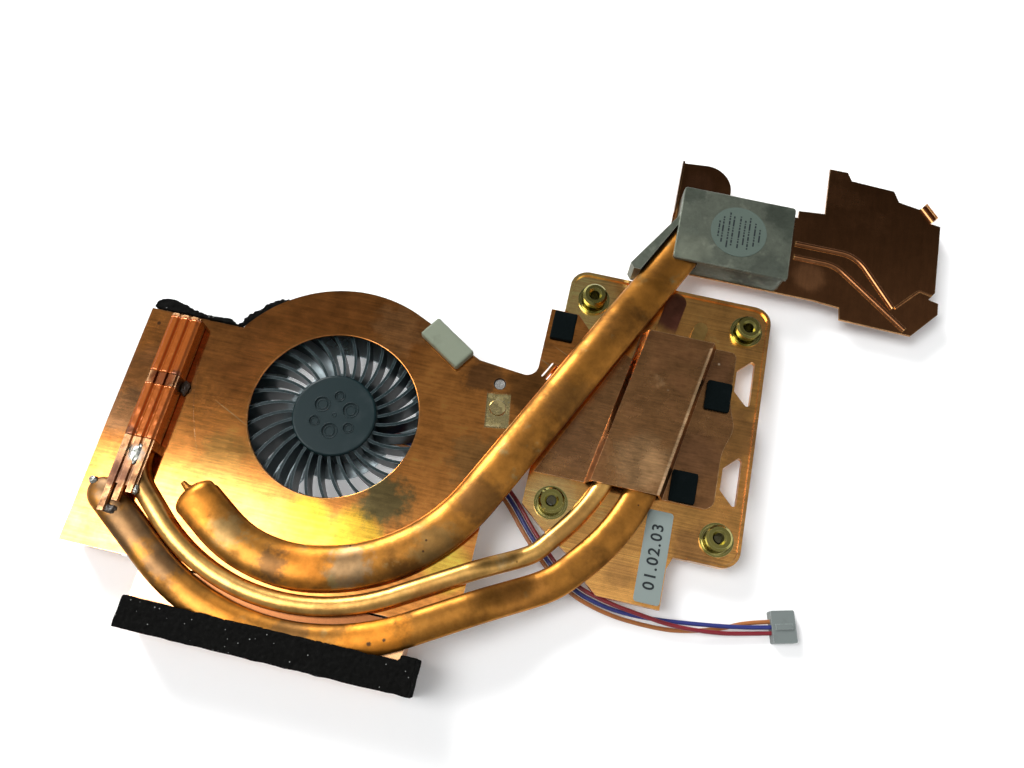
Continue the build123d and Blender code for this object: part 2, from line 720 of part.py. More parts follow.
# Gasket pad on the cover's flank
gasket_turn = -33.0
gasket_long = 13.0
gasket_wide = 6.2
gasket_thick = 2.0
gasket_round = 0.6
gasket_at = ((flank_start[0] + flank_end[0]) / 2 - 0.4, (flank_start[1] + flank_end[1]) / 2 - 1.9)
with BuildPart() as gasket:
    with BuildSketch(Plane.XY.offset(cover_top)):
        with Locations(Location((*gasket_at, 0), gasket_turn)):
            RectangleRounded(gasket_long, gasket_wide, gasket_round)
    extrude(amount=gasket_thick)
    fillet(gasket.faces().sort_by(Axis.Z)[-1].edges(), radius=gasket_round)
save(gasket, "gasket")

# Brass contact leaf behind the window in the cover, with a dome and a rolled edge
leaf_thick = 0.25
leaf_margin = 0.8
leaf_dome_r = 2.1
leaf_dome_high = 0.35
leaf_lip = 0.4
leaf_lip_high = 0.7
with BuildPart() as contact_leaf:
    with BuildSketch(Plane.XY.offset(cover_under - leaf_thick)):
        with Locations(Location((*leaf_window, 0), leaf_turn)):
            Rectangle(leaf_window_size[0] + 2 * leaf_margin, leaf_window_size[1] + 2 * leaf_margin)
    extrude(amount=leaf_thick)
    with BuildSketch(Plane.XY.offset(cover_under)):
        with Locations((leaf_window[0] - 0.2, leaf_window[1] + 0.8)):
            Circle(leaf_dome_r)
    extrude(amount=leaf_dome_high, taper=30)
    with BuildSketch(Plane.XY.offset(cover_under)):
        with Locations(Location((*leaf_window, 0), leaf_turn)):
            with Locations((0, leaf_lip - leaf_window_size[1] / 2)):
                Rectangle(leaf_window_size[0] - leaf_lip, leaf_lip)
    extrude(amount=leaf_lip_high)
save(contact_leaf, "contact_leaf")

# Small cross-head screw sunk in the cover's hole
screw_head_r = cover_hole_r - 0.25
screw_head_high = 0.9
screw_shank = 4.0
screw_cross = 0.35
with BuildPart() as cover_screw:
    with BuildSketch(Plane.XY.offset(boss_top)):
        with Locations(cover_screw_at):
            Circle(screw_head_r)
    extrude(amount=screw_head_high)
    with BuildSketch(Plane.XY.offset(boss_top)):
        with Locations(cover_screw_at):
            Circle(screw_shank_r)
    extrude(amount=-screw_shank)
    with BuildSketch(Plane.XY.offset(boss_top + screw_head_high)):
        with Locations(cover_screw_at):
            Rectangle(1.2 * screw_head_r, screw_cross)
            Rectangle(screw_cross, 1.2 * screw_head_r)
    extrude(amount=-screw_cross, mode=Mode.SUBTRACT)
save(cover_screw, "cover_screw")

# Soft black pads and a paper label
pad_thick = 0.8
pad_round = 0.4
pads = {"pad_neck": (-26.1, 16.4, 5.8, 7.6, cover_top), "pad_right": (15.3, 8.0, 6.2, 7.6, clamp_top),
        "pad_low": (10.3, -16.8, 6.2, 7.8, clamp_top)}
for pad_name, (pad_x, pad_y, pad_wide, pad_long, pad_floor) in pads.items():
    with BuildPart() as pad:
        with BuildSketch(Plane.XY.offset(pad_floor)):
            with Locations((pad_x, pad_y)):
                RectangleRounded(pad_wide, pad_long, pad_round)
        extrude(amount=pad_thick)
    save(pad, pad_name)

label_wide = 6.2
label_long = 22.0
label_round = 0.8
with BuildPart() as date_label:
    with BuildSketch(Plane.XY.offset(plate_top)):
        with Locations((tongue_right - label_wide / 2 - 0.2, tongue_low + label_long / 2 + 0.8)):
            RectangleRounded(label_wide, label_long, label_round)
    extrude(amount=skin)
save(date_label, "date_label")

# Graphics block: casting with a channel for the pipe, and a cap plate over both
gpu_block_top = gpu_pipe_floor + gpu_thick
cap_thick = 1.0
cap_edge = 0.2
cap_overhang = 0.4
gpu_dir = (Vector(*gpu_route[-1][:2]) - Vector(*gpu_route[-2][:2])).normalized()
channel_back = Vector(*gpu_route[-1][:2]) + gpu_dir * 4 * seat
channel_front = Vector(*gpu_route[-2][:2]) - gpu_dir * 12.0
block_left = -2.6
block_right = 27.0
block_front = 41.2
block_rear = 62.0
block_foot = plate_back + 0.9
block_round = 2.0
with BuildPart() as gpu_block:
    with BuildSketch(Plane.XY.offset(wing_top)) as block_outline:
        with BuildLine():
            Polyline((-11.8, block_foot), (-12.8, block_foot + 1.4), (-4.2, 51.4), (block_left, 54.0),
                     (block_left, block_rear), (block_right, block_rear), (block_right, block_front),
                     (2.4, block_front), (-3.6, block_foot), close=True)
        make_face()
        fillet(block_outline.vertices().group_by(Axis.X)[-1], radius=block_round)
    extrude(amount=gpu_block_top - wing_top)
    with BuildSketch(Plane.XY.offset(gpu_pipe_floor)):
        with BuildLine():
            Line(channel_front, channel_back)
        trace(line_width=gpu_width + 2 * seat)
    extrude(amount=gpu_block_top - gpu_pipe_floor, mode=Mode.SUBTRACT)
save(gpu_block, "gpu_block")

with BuildPart() as gpu_cap:
    with BuildSketch(Plane.XY.offset(gpu_block_top)):
        with Locations(((block_left + block_right) / 2, (block_front + block_rear) / 2)):
            RectangleRounded(block_right - block_left, block_rear - block_front + 2 * cap_overhang,
                             2 * cap_overhang)
    extrude(amount=cap_thick)
    chamfer(gpu_cap.faces().sort_by(Axis.Z)[-1].edges(), cap_edge)
save(gpu_cap, "gpu_cap")

gpu_chip_at = (13.0, 51.8)
sticker_r = 7.3
with BuildPart() as round_sticker:
    with BuildSketch(Plane.XY.offset(gpu_block_top + cap_thick)):
        with Locations(gpu_chip_at):
            Circle(sticker_r)
    extrude(amount=skin)
save(round_sticker, "round_sticker")

# Wing: dark copper sheet under the block, with notched edges, formed ribs, a rolled lip and a fold
wing_left = block_left - 1.2
wing_front = block_front - 0.2
wing_rear = block_rear + 3.0
lobe_right = 10.7
rib_r = 0.85
crease_r = 0.35
rib_sunk = 0.15
rib_bend = 9.0
crease_bend = 1.2
rib_start = block_right + 2.8
rib_lines = [([(rib_start, 56.8), (46.4, 56.8), (57.0, 43.4)], rib_r, rib_bend),
             ([(rib_start, 52.7), (41.0, 52.7), (60.4, 37.8)], rib_r, rib_bend),
             ([(57.6, 43.6), (63.6, 50.2), (66.9, 49.5)], crease_r, crease_bend)]
lip_start = (62.2, 75.4)
lip_end = (65.4, 71.6)
lip_r = 1.8
lip_turn = 110
fold_high = 1.6
fold_long = 16.6
with BuildPart() as wing_sheet:
    with BuildSketch(Plane.XY.offset(wing_under)):
        with BuildLine():
            Polyline((wing_left, wing_rear), (wing_left, wing_front), (35.8, wing_front), (43.2, 40.4),
                     (43.5, 37.0), (62.2, 36.6), (68.8, 44.3), (68.8, 47.6), (66.2, 48.2), (67.8, 50.6),
                     (68.2, 71.2), lip_end, lip_start, (56.6, 76.4), (55.0, 79.6), (43.2, 80.2),
                     (41.9, 82.7), (36.9, 82.7), (36.9, 67.9), (29.8, 67.2), (29.8, wing_rear),
                     (lobe_right, wing_rear), (lobe_right, 68.6))
            TangentArc((lobe_right, 68.6), (2.6, 75.6), tangent=(0, 1))
            Polyline((2.6, 75.6), (wing_left, 75.0), (wing_left, wing_rear))
        make_face()
    extrude(amount=wing_thick)
    for rib_line, rib_half, rib_round in rib_lines:
        rib_foot = wing_top - rib_sunk
        with BuildLine() as rib_route:
            FilletPolyline(*[(*point, rib_foot) for point in rib_line], radius=rib_round)
        rib_along = rib_route.line % 0
        rib_mouth = Plane(origin=rib_route.line @ 0, x_dir=Vector(0, 0, 1).cross(rib_along), z_dir=rib_along)
        with BuildSketch(rib_mouth):
            with BuildLine():
                CenterArc((0, 0), rib_half, 0, 180)
                Line((-rib_half, 0), (rib_half, 0))
            make_face()
        sweep(path=rib_route.line)
    lip_along = (Vector(*lip_end) - Vector(*lip_start)).normalized()
    lip_out = lip_along.cross(Vector(0, 0, -1))
    with BuildSketch(Plane(origin=(*lip_start, wing_under), x_dir=lip_out, z_dir=lip_along)):
        with BuildLine():
            lip_outer = CenterArc((0, lip_r), lip_r, -90, lip_turn)
            lip_inner = CenterArc((0, lip_r), lip_r - wing_thick, -90, lip_turn)
            Line(lip_outer @ 0, lip_inner @ 0)
            Line(lip_outer @ 1, lip_inner @ 1)
        make_face()
    extrude(amount=(Vector(*lip_end) - Vector(*lip_start)).length)
    with BuildSketch(Plane.XY.offset(wing_top)):
        with Locations((wing_left, 58.0)):
            Rectangle(wing_thick, fold_long, align=Align.MIN)
    extrude(amount=fold_high)
save(wing_sheet, "wing_sheet")

gpu_contact_size = (20.0, 17.0, 1.6)
with BuildPart() as gpu_contact:
    with BuildSketch(Plane.XY.offset(wing_under)):
        with Locations(gpu_chip_at):
            RectangleRounded(gpu_contact_size[0], gpu_contact_size[1], contact_round)
    extrude(amount=-gpu_contact_size[2])
    chamfer(gpu_contact.faces().sort_by(Axis.Z)[0].edges(), contact_edge)
save(gpu_contact, "gpu_contact")

# Fan lead: a ribbon of three wires from the motor board, under the pipes, twisting to a small white plug
lead_floor = base_thick + wire_d / 2 + 0.05
plug_dir = Vector(1, 0, 0).rotate(Axis.Z, plug_turn)
plug_at = Vector(36.4, -43.8, 0)
plug_grip = 0.9
lead_route = [(-64.6, fan_y, lead_floor), (-53.5, -19.6, lead_floor), (-43.0, notch_y, lead_floor),
              (-34.0, -24.4, 2.2), (-29.2, -28.4, 3.0), (-22.6, -36.2, 3.2), (-12.4, -45.4, 3.2)]
wire_tails = {"wire_red": [(-2.0, -47.0, 3.4), (6.0, -48.0, 3.4), (14.0, -48.8, 2.9), (24.0, -48.0, 1.9)],
              "wire_blue": [(-2.0, -48.3, 2.4), (8.0, -48.3, 1.9), (20.0, -46.9, 2.1)],
              "wire_orange": [(-2.4, -49.5, 2.2), (8.0, -49.9, 0.7), (16.0, -49.4, 0.6), (25.6, -46.5, 0.6)]}
wire_sides = {"wire_red": wire_pitch, "wire_blue": 0.0, "wire_orange": -wire_pitch}
wire_sockets = {"wire_red": (-1.3, 1.5), "wire_blue": (0.0, 1.9), "wire_orange": (1.3, 1.2)}
bend_share = 0.45


def beside(route, gap):
    """The route moved sideways by a fixed gap, level with itself."""
    moved = []
    for index, point in enumerate(route):
        ahead = route[min(index + 1, len(route) - 1)]
        behind = route[max(index - 1, 0)]
        along_in = Vector(point[0] - behind[0], point[1] - behind[1])
        along_out = Vector(ahead[0] - point[0], ahead[1] - point[1])
        along_in = along_in.normalized() if index else along_out.normalized()
        along_out = along_out.normalized() if index < len(route) - 1 else along_in
        along = (along_in + along_out).normalized()
        reach = gap / along.dot(along_in)
        moved.append((point[0] - along.Y * reach, point[1] + along.X * reach, point[2]))
    return moved


def bend_radii(route):
    """Radius of each bend from the shorter run beside it."""
    radii = []
    for before, corner, after in zip(route, route[1:], route[2:]):
        run_in = Vector(*corner) - Vector(*before)
        run_out = Vector(*after) - Vector(*corner)
        half_turn = radians(run_in.get_angle(run_out) / 2)
        radii.append(bend_share * min(run_in.length, run_out.length) / tan(half_turn))
    return radii


for wire_name, wire_side in wire_sides.items():
    hole_side, hole_high = wire_sockets[wire_name]
    socket = plug_at + Vector(0, 0, 1).cross(plug_dir) * hole_side + Vector(0, 0, hole_high)
    wire_end = [tuple(socket - plug_dir * plug_size[0]), tuple(socket + plug_dir * plug_grip)]
    wire_route = beside(lead_route, wire_side) + wire_tails[wire_name] + wire_end
    wire_radii = bend_radii(wire_route)
    with BuildPart() as wire:
        with BuildLine() as wire_line:
            FilletPolyline(*wire_route, radius=wire_radii)
        with BuildSketch(Plane(origin=wire_route[0], z_dir=wire_line.line % 0)):
            Circle(wire_d / 2)
        sweep(path=wire_line.line)
    wire_length = sum(edge.length for edge in wire_line.edges())
    print(wire_name, "length", round(wire_length, 1), "bends", [round(radius, 1) for radius in wire_radii])
    print(wire_name, "route", [tuple(round(value, 2) for value in point) for point in wire_route])
    save(wire, wire_name)

# Plug: white three-way housing with wire holes behind, sockets in front and a latch rib on top
plug_round = 0.4
latch_wide = 1.2
latch_inset = 0.8
latch_high = 0.4
socket_wide = 0.9
socket_high = 1.0
socket_deep = 1.8
socket_pitch = 2.0
plug_plane = Plane(origin=plug_at, x_dir=plug_dir, z_dir=(0, 0, 1))
with BuildPart() as fan_plug:
    with BuildSketch(plug_plane):
        with Locations((plug_size[0] / 2, 0)):
            RectangleRounded(plug_size[0], plug_size[1], plug_round)
    extrude(amount=plug_size[2])
    with BuildSketch(plug_plane.offset(plug_size[2])):
        with Locations((plug_size[0] / 2, 0)):
            Rectangle(plug_size[0] - 2 * latch_inset, latch_wide)
    extrude(amount=latch_high)
    with BuildSketch(plug_plane.offset((plug_size[2] - socket_high) / 2)):
        with Locations((plug_size[0], 0)):
            with GridLocations(0, socket_pitch, 1, len(wire_sides)):
                Rectangle(2 * socket_deep, socket_wide)
    extrude(amount=socket_high, mode=Mode.SUBTRACT)
    with BuildSketch(Plane(origin=plug_at, x_dir=Vector(0, 0, 1).cross(plug_dir), z_dir=plug_dir)):
        with Locations(*wire_sockets.values()):
            Circle(wire_d / 2 + seat)
    extrude(amount=plug_grip + 2 * seat, mode=Mode.SUBTRACT)
save(fan_plug, "fan_plug")
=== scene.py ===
"""Looks of a laptop cooling fan with its heat pipes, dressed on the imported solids.

Sizes in the classes are millimetres, as on a drawing, and MM turns them into Blender's metres.
"""

import logging
import math
from dataclasses import dataclass
from enum import Enum
from typing import Callable, Optional, Sequence, Union

import bmesh
import bpy
from mathutils import Matrix, Vector, noise


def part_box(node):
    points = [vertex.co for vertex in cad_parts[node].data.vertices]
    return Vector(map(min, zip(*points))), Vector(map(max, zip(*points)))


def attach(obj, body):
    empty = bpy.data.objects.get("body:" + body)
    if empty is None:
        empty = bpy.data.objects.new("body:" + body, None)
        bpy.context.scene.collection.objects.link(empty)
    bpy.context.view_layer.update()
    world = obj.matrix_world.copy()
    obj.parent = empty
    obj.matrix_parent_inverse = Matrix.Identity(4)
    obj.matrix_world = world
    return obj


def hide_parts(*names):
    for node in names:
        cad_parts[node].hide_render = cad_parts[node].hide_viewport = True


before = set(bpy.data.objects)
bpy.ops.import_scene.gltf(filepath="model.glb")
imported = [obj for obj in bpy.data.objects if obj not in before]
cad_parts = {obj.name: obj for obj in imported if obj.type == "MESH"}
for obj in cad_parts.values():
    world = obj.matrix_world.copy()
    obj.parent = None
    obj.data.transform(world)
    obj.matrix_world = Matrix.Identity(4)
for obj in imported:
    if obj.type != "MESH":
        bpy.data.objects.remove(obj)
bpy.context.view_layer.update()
MM = 0.001
COVER_SHEET = 0.5  # thickness of the cover's sheet
CURVE_ORDER = 3  # order of a smooth spline
RUMPLE_FALL, RUMPLE_STEP, RUMPLE_LAYERS = 1.0, 2.0, 3  # layers of the uneven noise

Colour = tuple[float, float, float]
Point = tuple[float, float, float]
Feed = Union[bpy.types.NodeSocket, float, Sequence[float]]
Press = Callable[[Vector, Vector], float]  # how far a point moves along its normal, from its place and normal

logging.basicConfig(level=logging.INFO, format="%(levelname)s %(message)s")
log = logging.getLogger("heatsink")


class Body(Enum):
    """The bodies that pieces ride on."""

    FRAME = "frame"
    ROTOR = "rotor"


class Graph:
    """A node tree with short calls that add nodes and join their sockets.

    Attributes:
        MIX_SHARE: Socket of the share on a Mix node for colours.
        MIX_FIRST: Socket of its first colour.
        MIX_SECOND: Socket of its second colour.
        MIX_RESULT: Socket of its result.
        TO_NUMBER: Vector operations that give one number.
    """

    MIX_SHARE, MIX_FIRST, MIX_SECOND, MIX_RESULT = 0, 6, 7, 2
    TO_NUMBER = ("DISTANCE", "DOT_PRODUCT")

    def __init__(self, tree: bpy.types.NodeTree) -> None:
        """Keep the tree that nodes go into."""
        self.tree = tree

    def add(self, kind: str, **settings: object) -> bpy.types.Node:
        """Add one node.

        Args:
            kind: Blender's name of the node type.
            settings: Properties set on the node.

        Returns:
            The new node.
        """
        node = self.tree.nodes.new(kind)
        for name, value in settings.items():
            setattr(node, name, value)
        return node

    def feed(self, socket: bpy.types.NodeSocket, value: Feed) -> None:
        """Link a socket to another, or set its own value.

        Args:
            socket: The input to fill.
            value: An output socket, a number, a colour or a vector.
        """
        if isinstance(value, bpy.types.NodeSocket):
            self.tree.links.new(value, socket)
        elif socket.type == "RGBA":
            socket.default_value = (*value[:3], 1.0)
        else:
            socket.default_value = value

    def maths(self, operation: str, first: Feed, second: Feed = 0.0, clamp: bool = False) -> bpy.types.NodeSocket:
        """Work on two numbers.

        Args:
            operation: Blender's name of the operation.
            first: The first number.
            second: The second number.
            clamp: Whether the result stays between 0 and 1.

        Returns:
            The result.
        """
        node = self.add("ShaderNodeMath", operation=operation, use_clamp=clamp)
        self.feed(node.inputs[0], first)
        self.feed(node.inputs[1], second)
        return node.outputs[0]

    def vector(self, operation: str, first: Feed, second: Feed) -> bpy.types.NodeSocket:
        """Work on two vectors.

        Args:
            operation: Blender's name of the operation.
            first: The first vector.
            second: The second vector.

        Returns:
            The result, a vector or a number.
        """
        node = self.add("ShaderNodeVectorMath", operation=operation)
        self.feed(node.inputs[0], first)
        self.feed(node.inputs[1], second)
        return node.outputs["Value" if operation in self.TO_NUMBER else "Vector"]

    def mix(self, share: Feed, first: Feed, second: Feed, blend: str = "MIX") -> bpy.types.NodeSocket:
        """Lay one colour over another.

        Args:
            share: How much of the second colour shows, from 0 to 1.
            first: The colour below.
            second: The colour on top.
            blend: Blender's name of the way in which they join.

        Returns:
            The joined colour.
        """
        node = self.add("ShaderNodeMix", data_type="RGBA", blend_type=blend)
        self.feed(node.inputs[self.MIX_SHARE], share)
        self.feed(node.inputs[self.MIX_FIRST], first)
        self.feed(node.inputs[self.MIX_SECOND], second)
        return node.outputs[self.MIX_RESULT]

    def span(self, value: Feed, low: Feed, high: Feed, to_low: Feed = 0.0, to_high: Feed = 1.0,
             kind: str = "SMOOTHSTEP") -> bpy.types.NodeSocket:
        """Map a value from one range to another, and hold it at the ends.

        Args:
            value: The value.
            low: Start of its range.
            high: End of its range.
            to_low: What the start becomes.
            to_high: What the end becomes.
            kind: Blender's name of the way between them.

        Returns:
            The mapped value.
        """
        node = self.add("ShaderNodeMapRange", interpolation_type=kind)
        for index, part in enumerate((value, low, high, to_low, to_high)):
            self.feed(node.inputs[index], part)
        return node.outputs[0]

    def noise(self, coords: Feed, scale: Feed, detail: float = 4.0, rough: float = 0.55) -> bpy.types.NodeSocket:
        """Cloudy noise, about 0.5 on average.

        Args:
            coords: Where it is read.
            scale: Clouds to a metre.
            detail: Count of finer layers.
            rough: Strength of each finer layer.

        Returns:
            The noise.
        """
        node = self.add("ShaderNodeTexNoise")
        self.feed(node.inputs["Vector"], coords)
        self.feed(node.inputs["Scale"], scale)
        self.feed(node.inputs["Detail"], detail)
        self.feed(node.inputs["Roughness"], rough)
        return node.outputs[0]

    def coords(self) -> bpy.types.NodeSocket:
        """Place on the object, in the part's own frame."""
        return self.add("ShaderNodeTexCoord").outputs["Object"]


class Effect(Enum):
    """Effects that several finishes share."""

    PATINA = "Patina"
    GRAIN = "BrushedGrain"
    WEAR_AND_SHEEN = "EdgeWearAndSheen"
    SPECKS = "Specks"
    STAIN_OR_LIGHT = "StainOrLightPatch"
    LIGHT_SHADE_STRIPE = "LightShadeStripe"
    SCRATCHES = "Scratches"
    MOTTLE = "Mottle"


class EffectShelf:
    """Builds each shared effect once, as a node group, and places it in materials.

    Attributes:
        NUMBER: Blender's name of a socket for a number.
        COLOUR: The same for a colour.
        VECTOR: The same for a vector.
        PATCH_SHIFT: How far the noise of the bloom is moved from that of the tarnish.
        PATCH_FINER: How much finer the bloom is.
        SPECK_CORE: Share of a speck that is full.
        RAGGED_FINE: Clouds across the radius of a ragged patch.
        RAGGED_FULL: Share of its radius that is full.
        SCRATCH_STRETCH: How the noise of the scratches is drawn out.
    """

    NUMBER = "NodeSocketFloat"
    COLOUR = "NodeSocketColor"
    VECTOR = "NodeSocketVector"
    PATCH_SHIFT = (0.37, 0.11, 0.23)
    PATCH_FINER = 2.6
    SPECK_CORE = 0.6
    RAGGED_FINE = 2.4
    RAGGED_FULL = 0.45
    SCRATCH_STRETCH = (0.03, 1.0, 1.0)

    def __init__(self) -> None:
        """Start with no groups."""
        self.groups: dict[Effect, bpy.types.NodeTree] = {}
        self.makers: dict[Effect, Callable[[], bpy.types.NodeTree]] = {
            Effect.PATINA: self.patina, Effect.GRAIN: self.grain, Effect.WEAR_AND_SHEEN: self.wear_and_sheen,
            Effect.SPECKS: self.specks, Effect.STAIN_OR_LIGHT: self.stain_or_light, Effect.LIGHT_SHADE_STRIPE: self.light_shade_stripe,
            Effect.SCRATCHES: self.scratches, Effect.MOTTLE: self.mottle}

    def place(self, graph: Graph, effect: Effect, **values: Feed) -> bpy.types.Node:
        """Put one effect in a material.

        Args:
            graph: The material's tree.
            effect: Which effect.
            values: Its inputs by name, with _ for a space.

        Returns:
            The group node.
        """
        if effect not in self.groups:
            self.groups[effect] = self.makers[effect]()
        node = graph.add("ShaderNodeGroup", node_tree=self.groups[effect])
        for name, value in values.items():
            graph.feed(node.inputs[name.replace("_", " ").title()], value)
        return node

    def start(self, effect: Effect, inputs: dict[str, str], outputs: dict[str, str]) -> tuple[Graph, dict, dict]:
        """Open a new group.

        Args:
            effect: The effect that it holds.
            inputs: Socket type of each input by name.
            outputs: Socket type of each output by name.

        Returns:
            The group's graph, its inputs and its outputs by name.
        """
        tree = bpy.data.node_groups.new(effect.value, "ShaderNodeTree")
        for name, kind in inputs.items():
            tree.interface.new_socket(name, in_out="INPUT", socket_type=kind)
        for name, kind in outputs.items():
            tree.interface.new_socket(name, in_out="OUTPUT", socket_type=kind)
        graph = Graph(tree)
        given = graph.add("NodeGroupInput").outputs
        put = graph.add("NodeGroupOutput").inputs
        return graph, {name: given[name] for name in inputs}, {name: put[name] for name in outputs}

    def above(self, graph: Graph, value: Feed, amount: Feed, top: float, fall: float,
              edge: float) -> bpy.types.NodeSocket:
        """Mask of the places where a noise is over a level, which comes down as the amount grows.

        Args:
            graph: The group's graph.
            value: The noise.
            amount: How much is covered, from 0 to 1.
            top: The level when the amount is 0.
            fall: How far the level falls when the amount is 1.
            edge: Height over which the mask goes from 0 to 1.

        Returns:
            The mask.
        """
        low = graph.maths("SUBTRACT", top, graph.maths("MULTIPLY", amount, fall))
        return graph.span(value, low, graph.maths("ADD", low, edge))

    def patina(self) -> bpy.types.NodeTree:
        """Clouds of tarnish and patches of bloom over a clean metal.

        Returns:
            The group.
        """
        graph, given, put = self.start(
            Effect.PATINA,
            {"Clean": self.COLOUR, "Tarnish": self.COLOUR, "Bloom": self.COLOUR, "Cloud Scale": self.NUMBER,
             "Tarnish Amount": self.NUMBER, "Bloom Amount": self.NUMBER},
            {"Colour": self.COLOUR, "Mask": self.NUMBER})
        coords = graph.coords()
        moved = graph.vector("ADD", coords, self.PATCH_SHIFT)
        finer = graph.maths("MULTIPLY", given["Cloud Scale"], self.PATCH_FINER)
        clouds = graph.noise(coords, given["Cloud Scale"], detail=7.0, rough=0.62)
        patches = graph.noise(moved, finer, detail=6.0, rough=0.6)
        mask = self.above(graph, clouds, given["Tarnish Amount"], top=0.72, fall=0.5, edge=0.24)
        bloom = self.above(graph, patches, given["Bloom Amount"], top=0.74, fall=0.5, edge=0.14)
        aged = graph.mix(mask, given["Clean"], given["Tarnish"])
        graph.feed(put["Colour"], graph.mix(bloom, aged, given["Bloom"]))
        graph.feed(put["Mask"], mask)
        return graph.tree

    def grain(self) -> bpy.types.NodeTree:
        """Fine lines along the direction in which the stretch is small.

        Returns:
            The group.
        """
        graph, given, put = self.start(Effect.GRAIN, {"Stretch": self.VECTOR}, {"Height": self.NUMBER})
        drawn = graph.vector("MULTIPLY", graph.coords(), given["Stretch"])
        graph.feed(put["Height"], graph.noise(drawn, scale=1.0, detail=5.0, rough=0.6))
        return graph.tree

    def wear_and_sheen(self) -> bpy.types.NodeTree:
        """Mask of edges, found by comparing a rounded normal with the true one: rubbed edges on most finishes, a
        painted highlight on some.

        Returns:
            The group.
        """
        graph, given, put = self.start(Effect.WEAR_AND_SHEEN, {"Width": self.NUMBER}, {"Mask": self.NUMBER})
        rounded = graph.add("ShaderNodeBevel", samples=6)
        graph.feed(rounded.inputs["Radius"], given["Width"])
        true = graph.add("ShaderNodeNewGeometry").outputs["Normal"]
        alike = graph.vector("DOT_PRODUCT", rounded.outputs[0], true)
        edge = graph.span(graph.maths("SUBTRACT", 1.0, alike), low=0.01, high=0.16)
        flecks = graph.noise(graph.coords(), scale=900.0, detail=3.0)
        broken = graph.span(flecks, low=0.30, high=0.55, to_low=0.35)
        graph.feed(put["Mask"], graph.maths("MULTIPLY", edge, broken))
        return graph.tree

    def specks(self) -> bpy.types.NodeTree:
        """Scattered round specks.

        Returns:
            The group.
        """
        graph, given, put = self.start(
            Effect.SPECKS, {"Scale": self.NUMBER, "Size": self.NUMBER, "Share": self.NUMBER},
            {"Mask": self.NUMBER})
        cells = graph.add("ShaderNodeTexVoronoi")
        graph.feed(cells.inputs["Vector"], graph.coords())
        graph.feed(cells.inputs["Scale"], given["Scale"])
        core = graph.maths("MULTIPLY", given["Size"], self.SPECK_CORE)
        dot = graph.span(cells.outputs["Distance"], given["Size"], core)
        lot = graph.add("ShaderNodeSeparateColor")
        graph.feed(lot.inputs[0], cells.outputs["Color"])
        chosen = graph.maths("LESS_THAN", lot.outputs[0], given["Share"])
        graph.feed(put["Mask"], graph.maths("MULTIPLY", dot, chosen))
        return graph.tree

    def ragged_edge(self, graph: Graph, coords: Feed, away: Feed, given: dict) -> bpy.types.NodeSocket:
        """Turn a distance into a mask with a soft broken edge.

        Args:
            graph: The group's graph.
            coords: Place on the object.
            away: Distance from the middle of the patch.
            given: The group's inputs, with Radius and Ragged among them.

        Returns:
            The mask, 1 in the middle.
        """
        fine = graph.maths("DIVIDE", self.RAGGED_FINE, given["Radius"])
        cloud = graph.maths("SUBTRACT", graph.noise(coords, fine, detail=6.0, rough=0.65), 0.5)
        shift = graph.maths("MULTIPLY", graph.maths("MULTIPLY", cloud, given["Ragged"]), given["Radius"])
        full = graph.maths("MULTIPLY", given["Radius"], self.RAGGED_FULL)
        return graph.span(graph.maths("ADD", away, shift), given["Radius"], full)

    def stain_or_light(self) -> bpy.types.NodeTree:
        """One soft ragged patch round a point.

        Returns:
            The group.
        """
        graph, given, put = self.start(
            Effect.STAIN_OR_LIGHT, {"Centre": self.VECTOR, "Radius": self.NUMBER, "Ragged": self.NUMBER},
            {"Mask": self.NUMBER})
        coords = graph.coords()
        away = graph.vector("DISTANCE", coords, given["Centre"])
        graph.feed(put["Mask"], self.ragged_edge(graph, coords, away, given))
        return graph.tree

    def light_shade_stripe(self) -> bpy.types.NodeTree:
        """One soft ragged band along a straight line.

        Returns:
            The group.
        """
        graph, given, put = self.start(
            Effect.LIGHT_SHADE_STRIPE,
            {"Start": self.VECTOR, "Along": self.VECTOR, "Radius": self.NUMBER, "Ragged": self.NUMBER},
            {"Mask": self.NUMBER})
        coords = graph.coords()
        off = graph.vector("SUBTRACT", coords, given["Start"])
        reach = graph.vector("DOT_PRODUCT", off, given["Along"])
        whole = graph.vector("DOT_PRODUCT", given["Along"], given["Along"])
        nearest = graph.add("ShaderNodeVectorMath", operation="SCALE")
        graph.feed(nearest.inputs[0], given["Along"])
        graph.feed(nearest.inputs["Scale"], graph.maths("DIVIDE", reach, whole, clamp=True))
        away = graph.vector("DISTANCE", off, nearest.outputs[0])
        graph.feed(put["Mask"], self.ragged_edge(graph, coords, away, given))
        return graph.tree

    def mottle(self) -> bpy.types.NodeTree:
        """Fine lines and patches of a lighter and darker tone of the same colour.

        Returns:
            The group.
        """
        graph, given, put = self.start(
            Effect.MOTTLE, {"Under": self.COLOUR, "Stretch": self.VECTOR, "Depth": self.NUMBER},
            {"Colour": self.COLOUR})
        coords = graph.coords()
        drawn = graph.vector("MULTIPLY", coords, given["Stretch"])
        lines = graph.noise(drawn, scale=1.0, detail=5.0, rough=0.65)
        patches = graph.noise(coords, scale=260.0, detail=6.0, rough=0.65)
        swing = graph.maths("SUBTRACT", graph.maths("ADD", lines, patches), 1.0)
        level = graph.maths("ADD", 1.0, graph.maths("MULTIPLY", swing, given["Depth"]))
        graph.feed(put["Colour"], graph.mix(1.0, given["Under"], level, "MULTIPLY"))
        return graph.tree

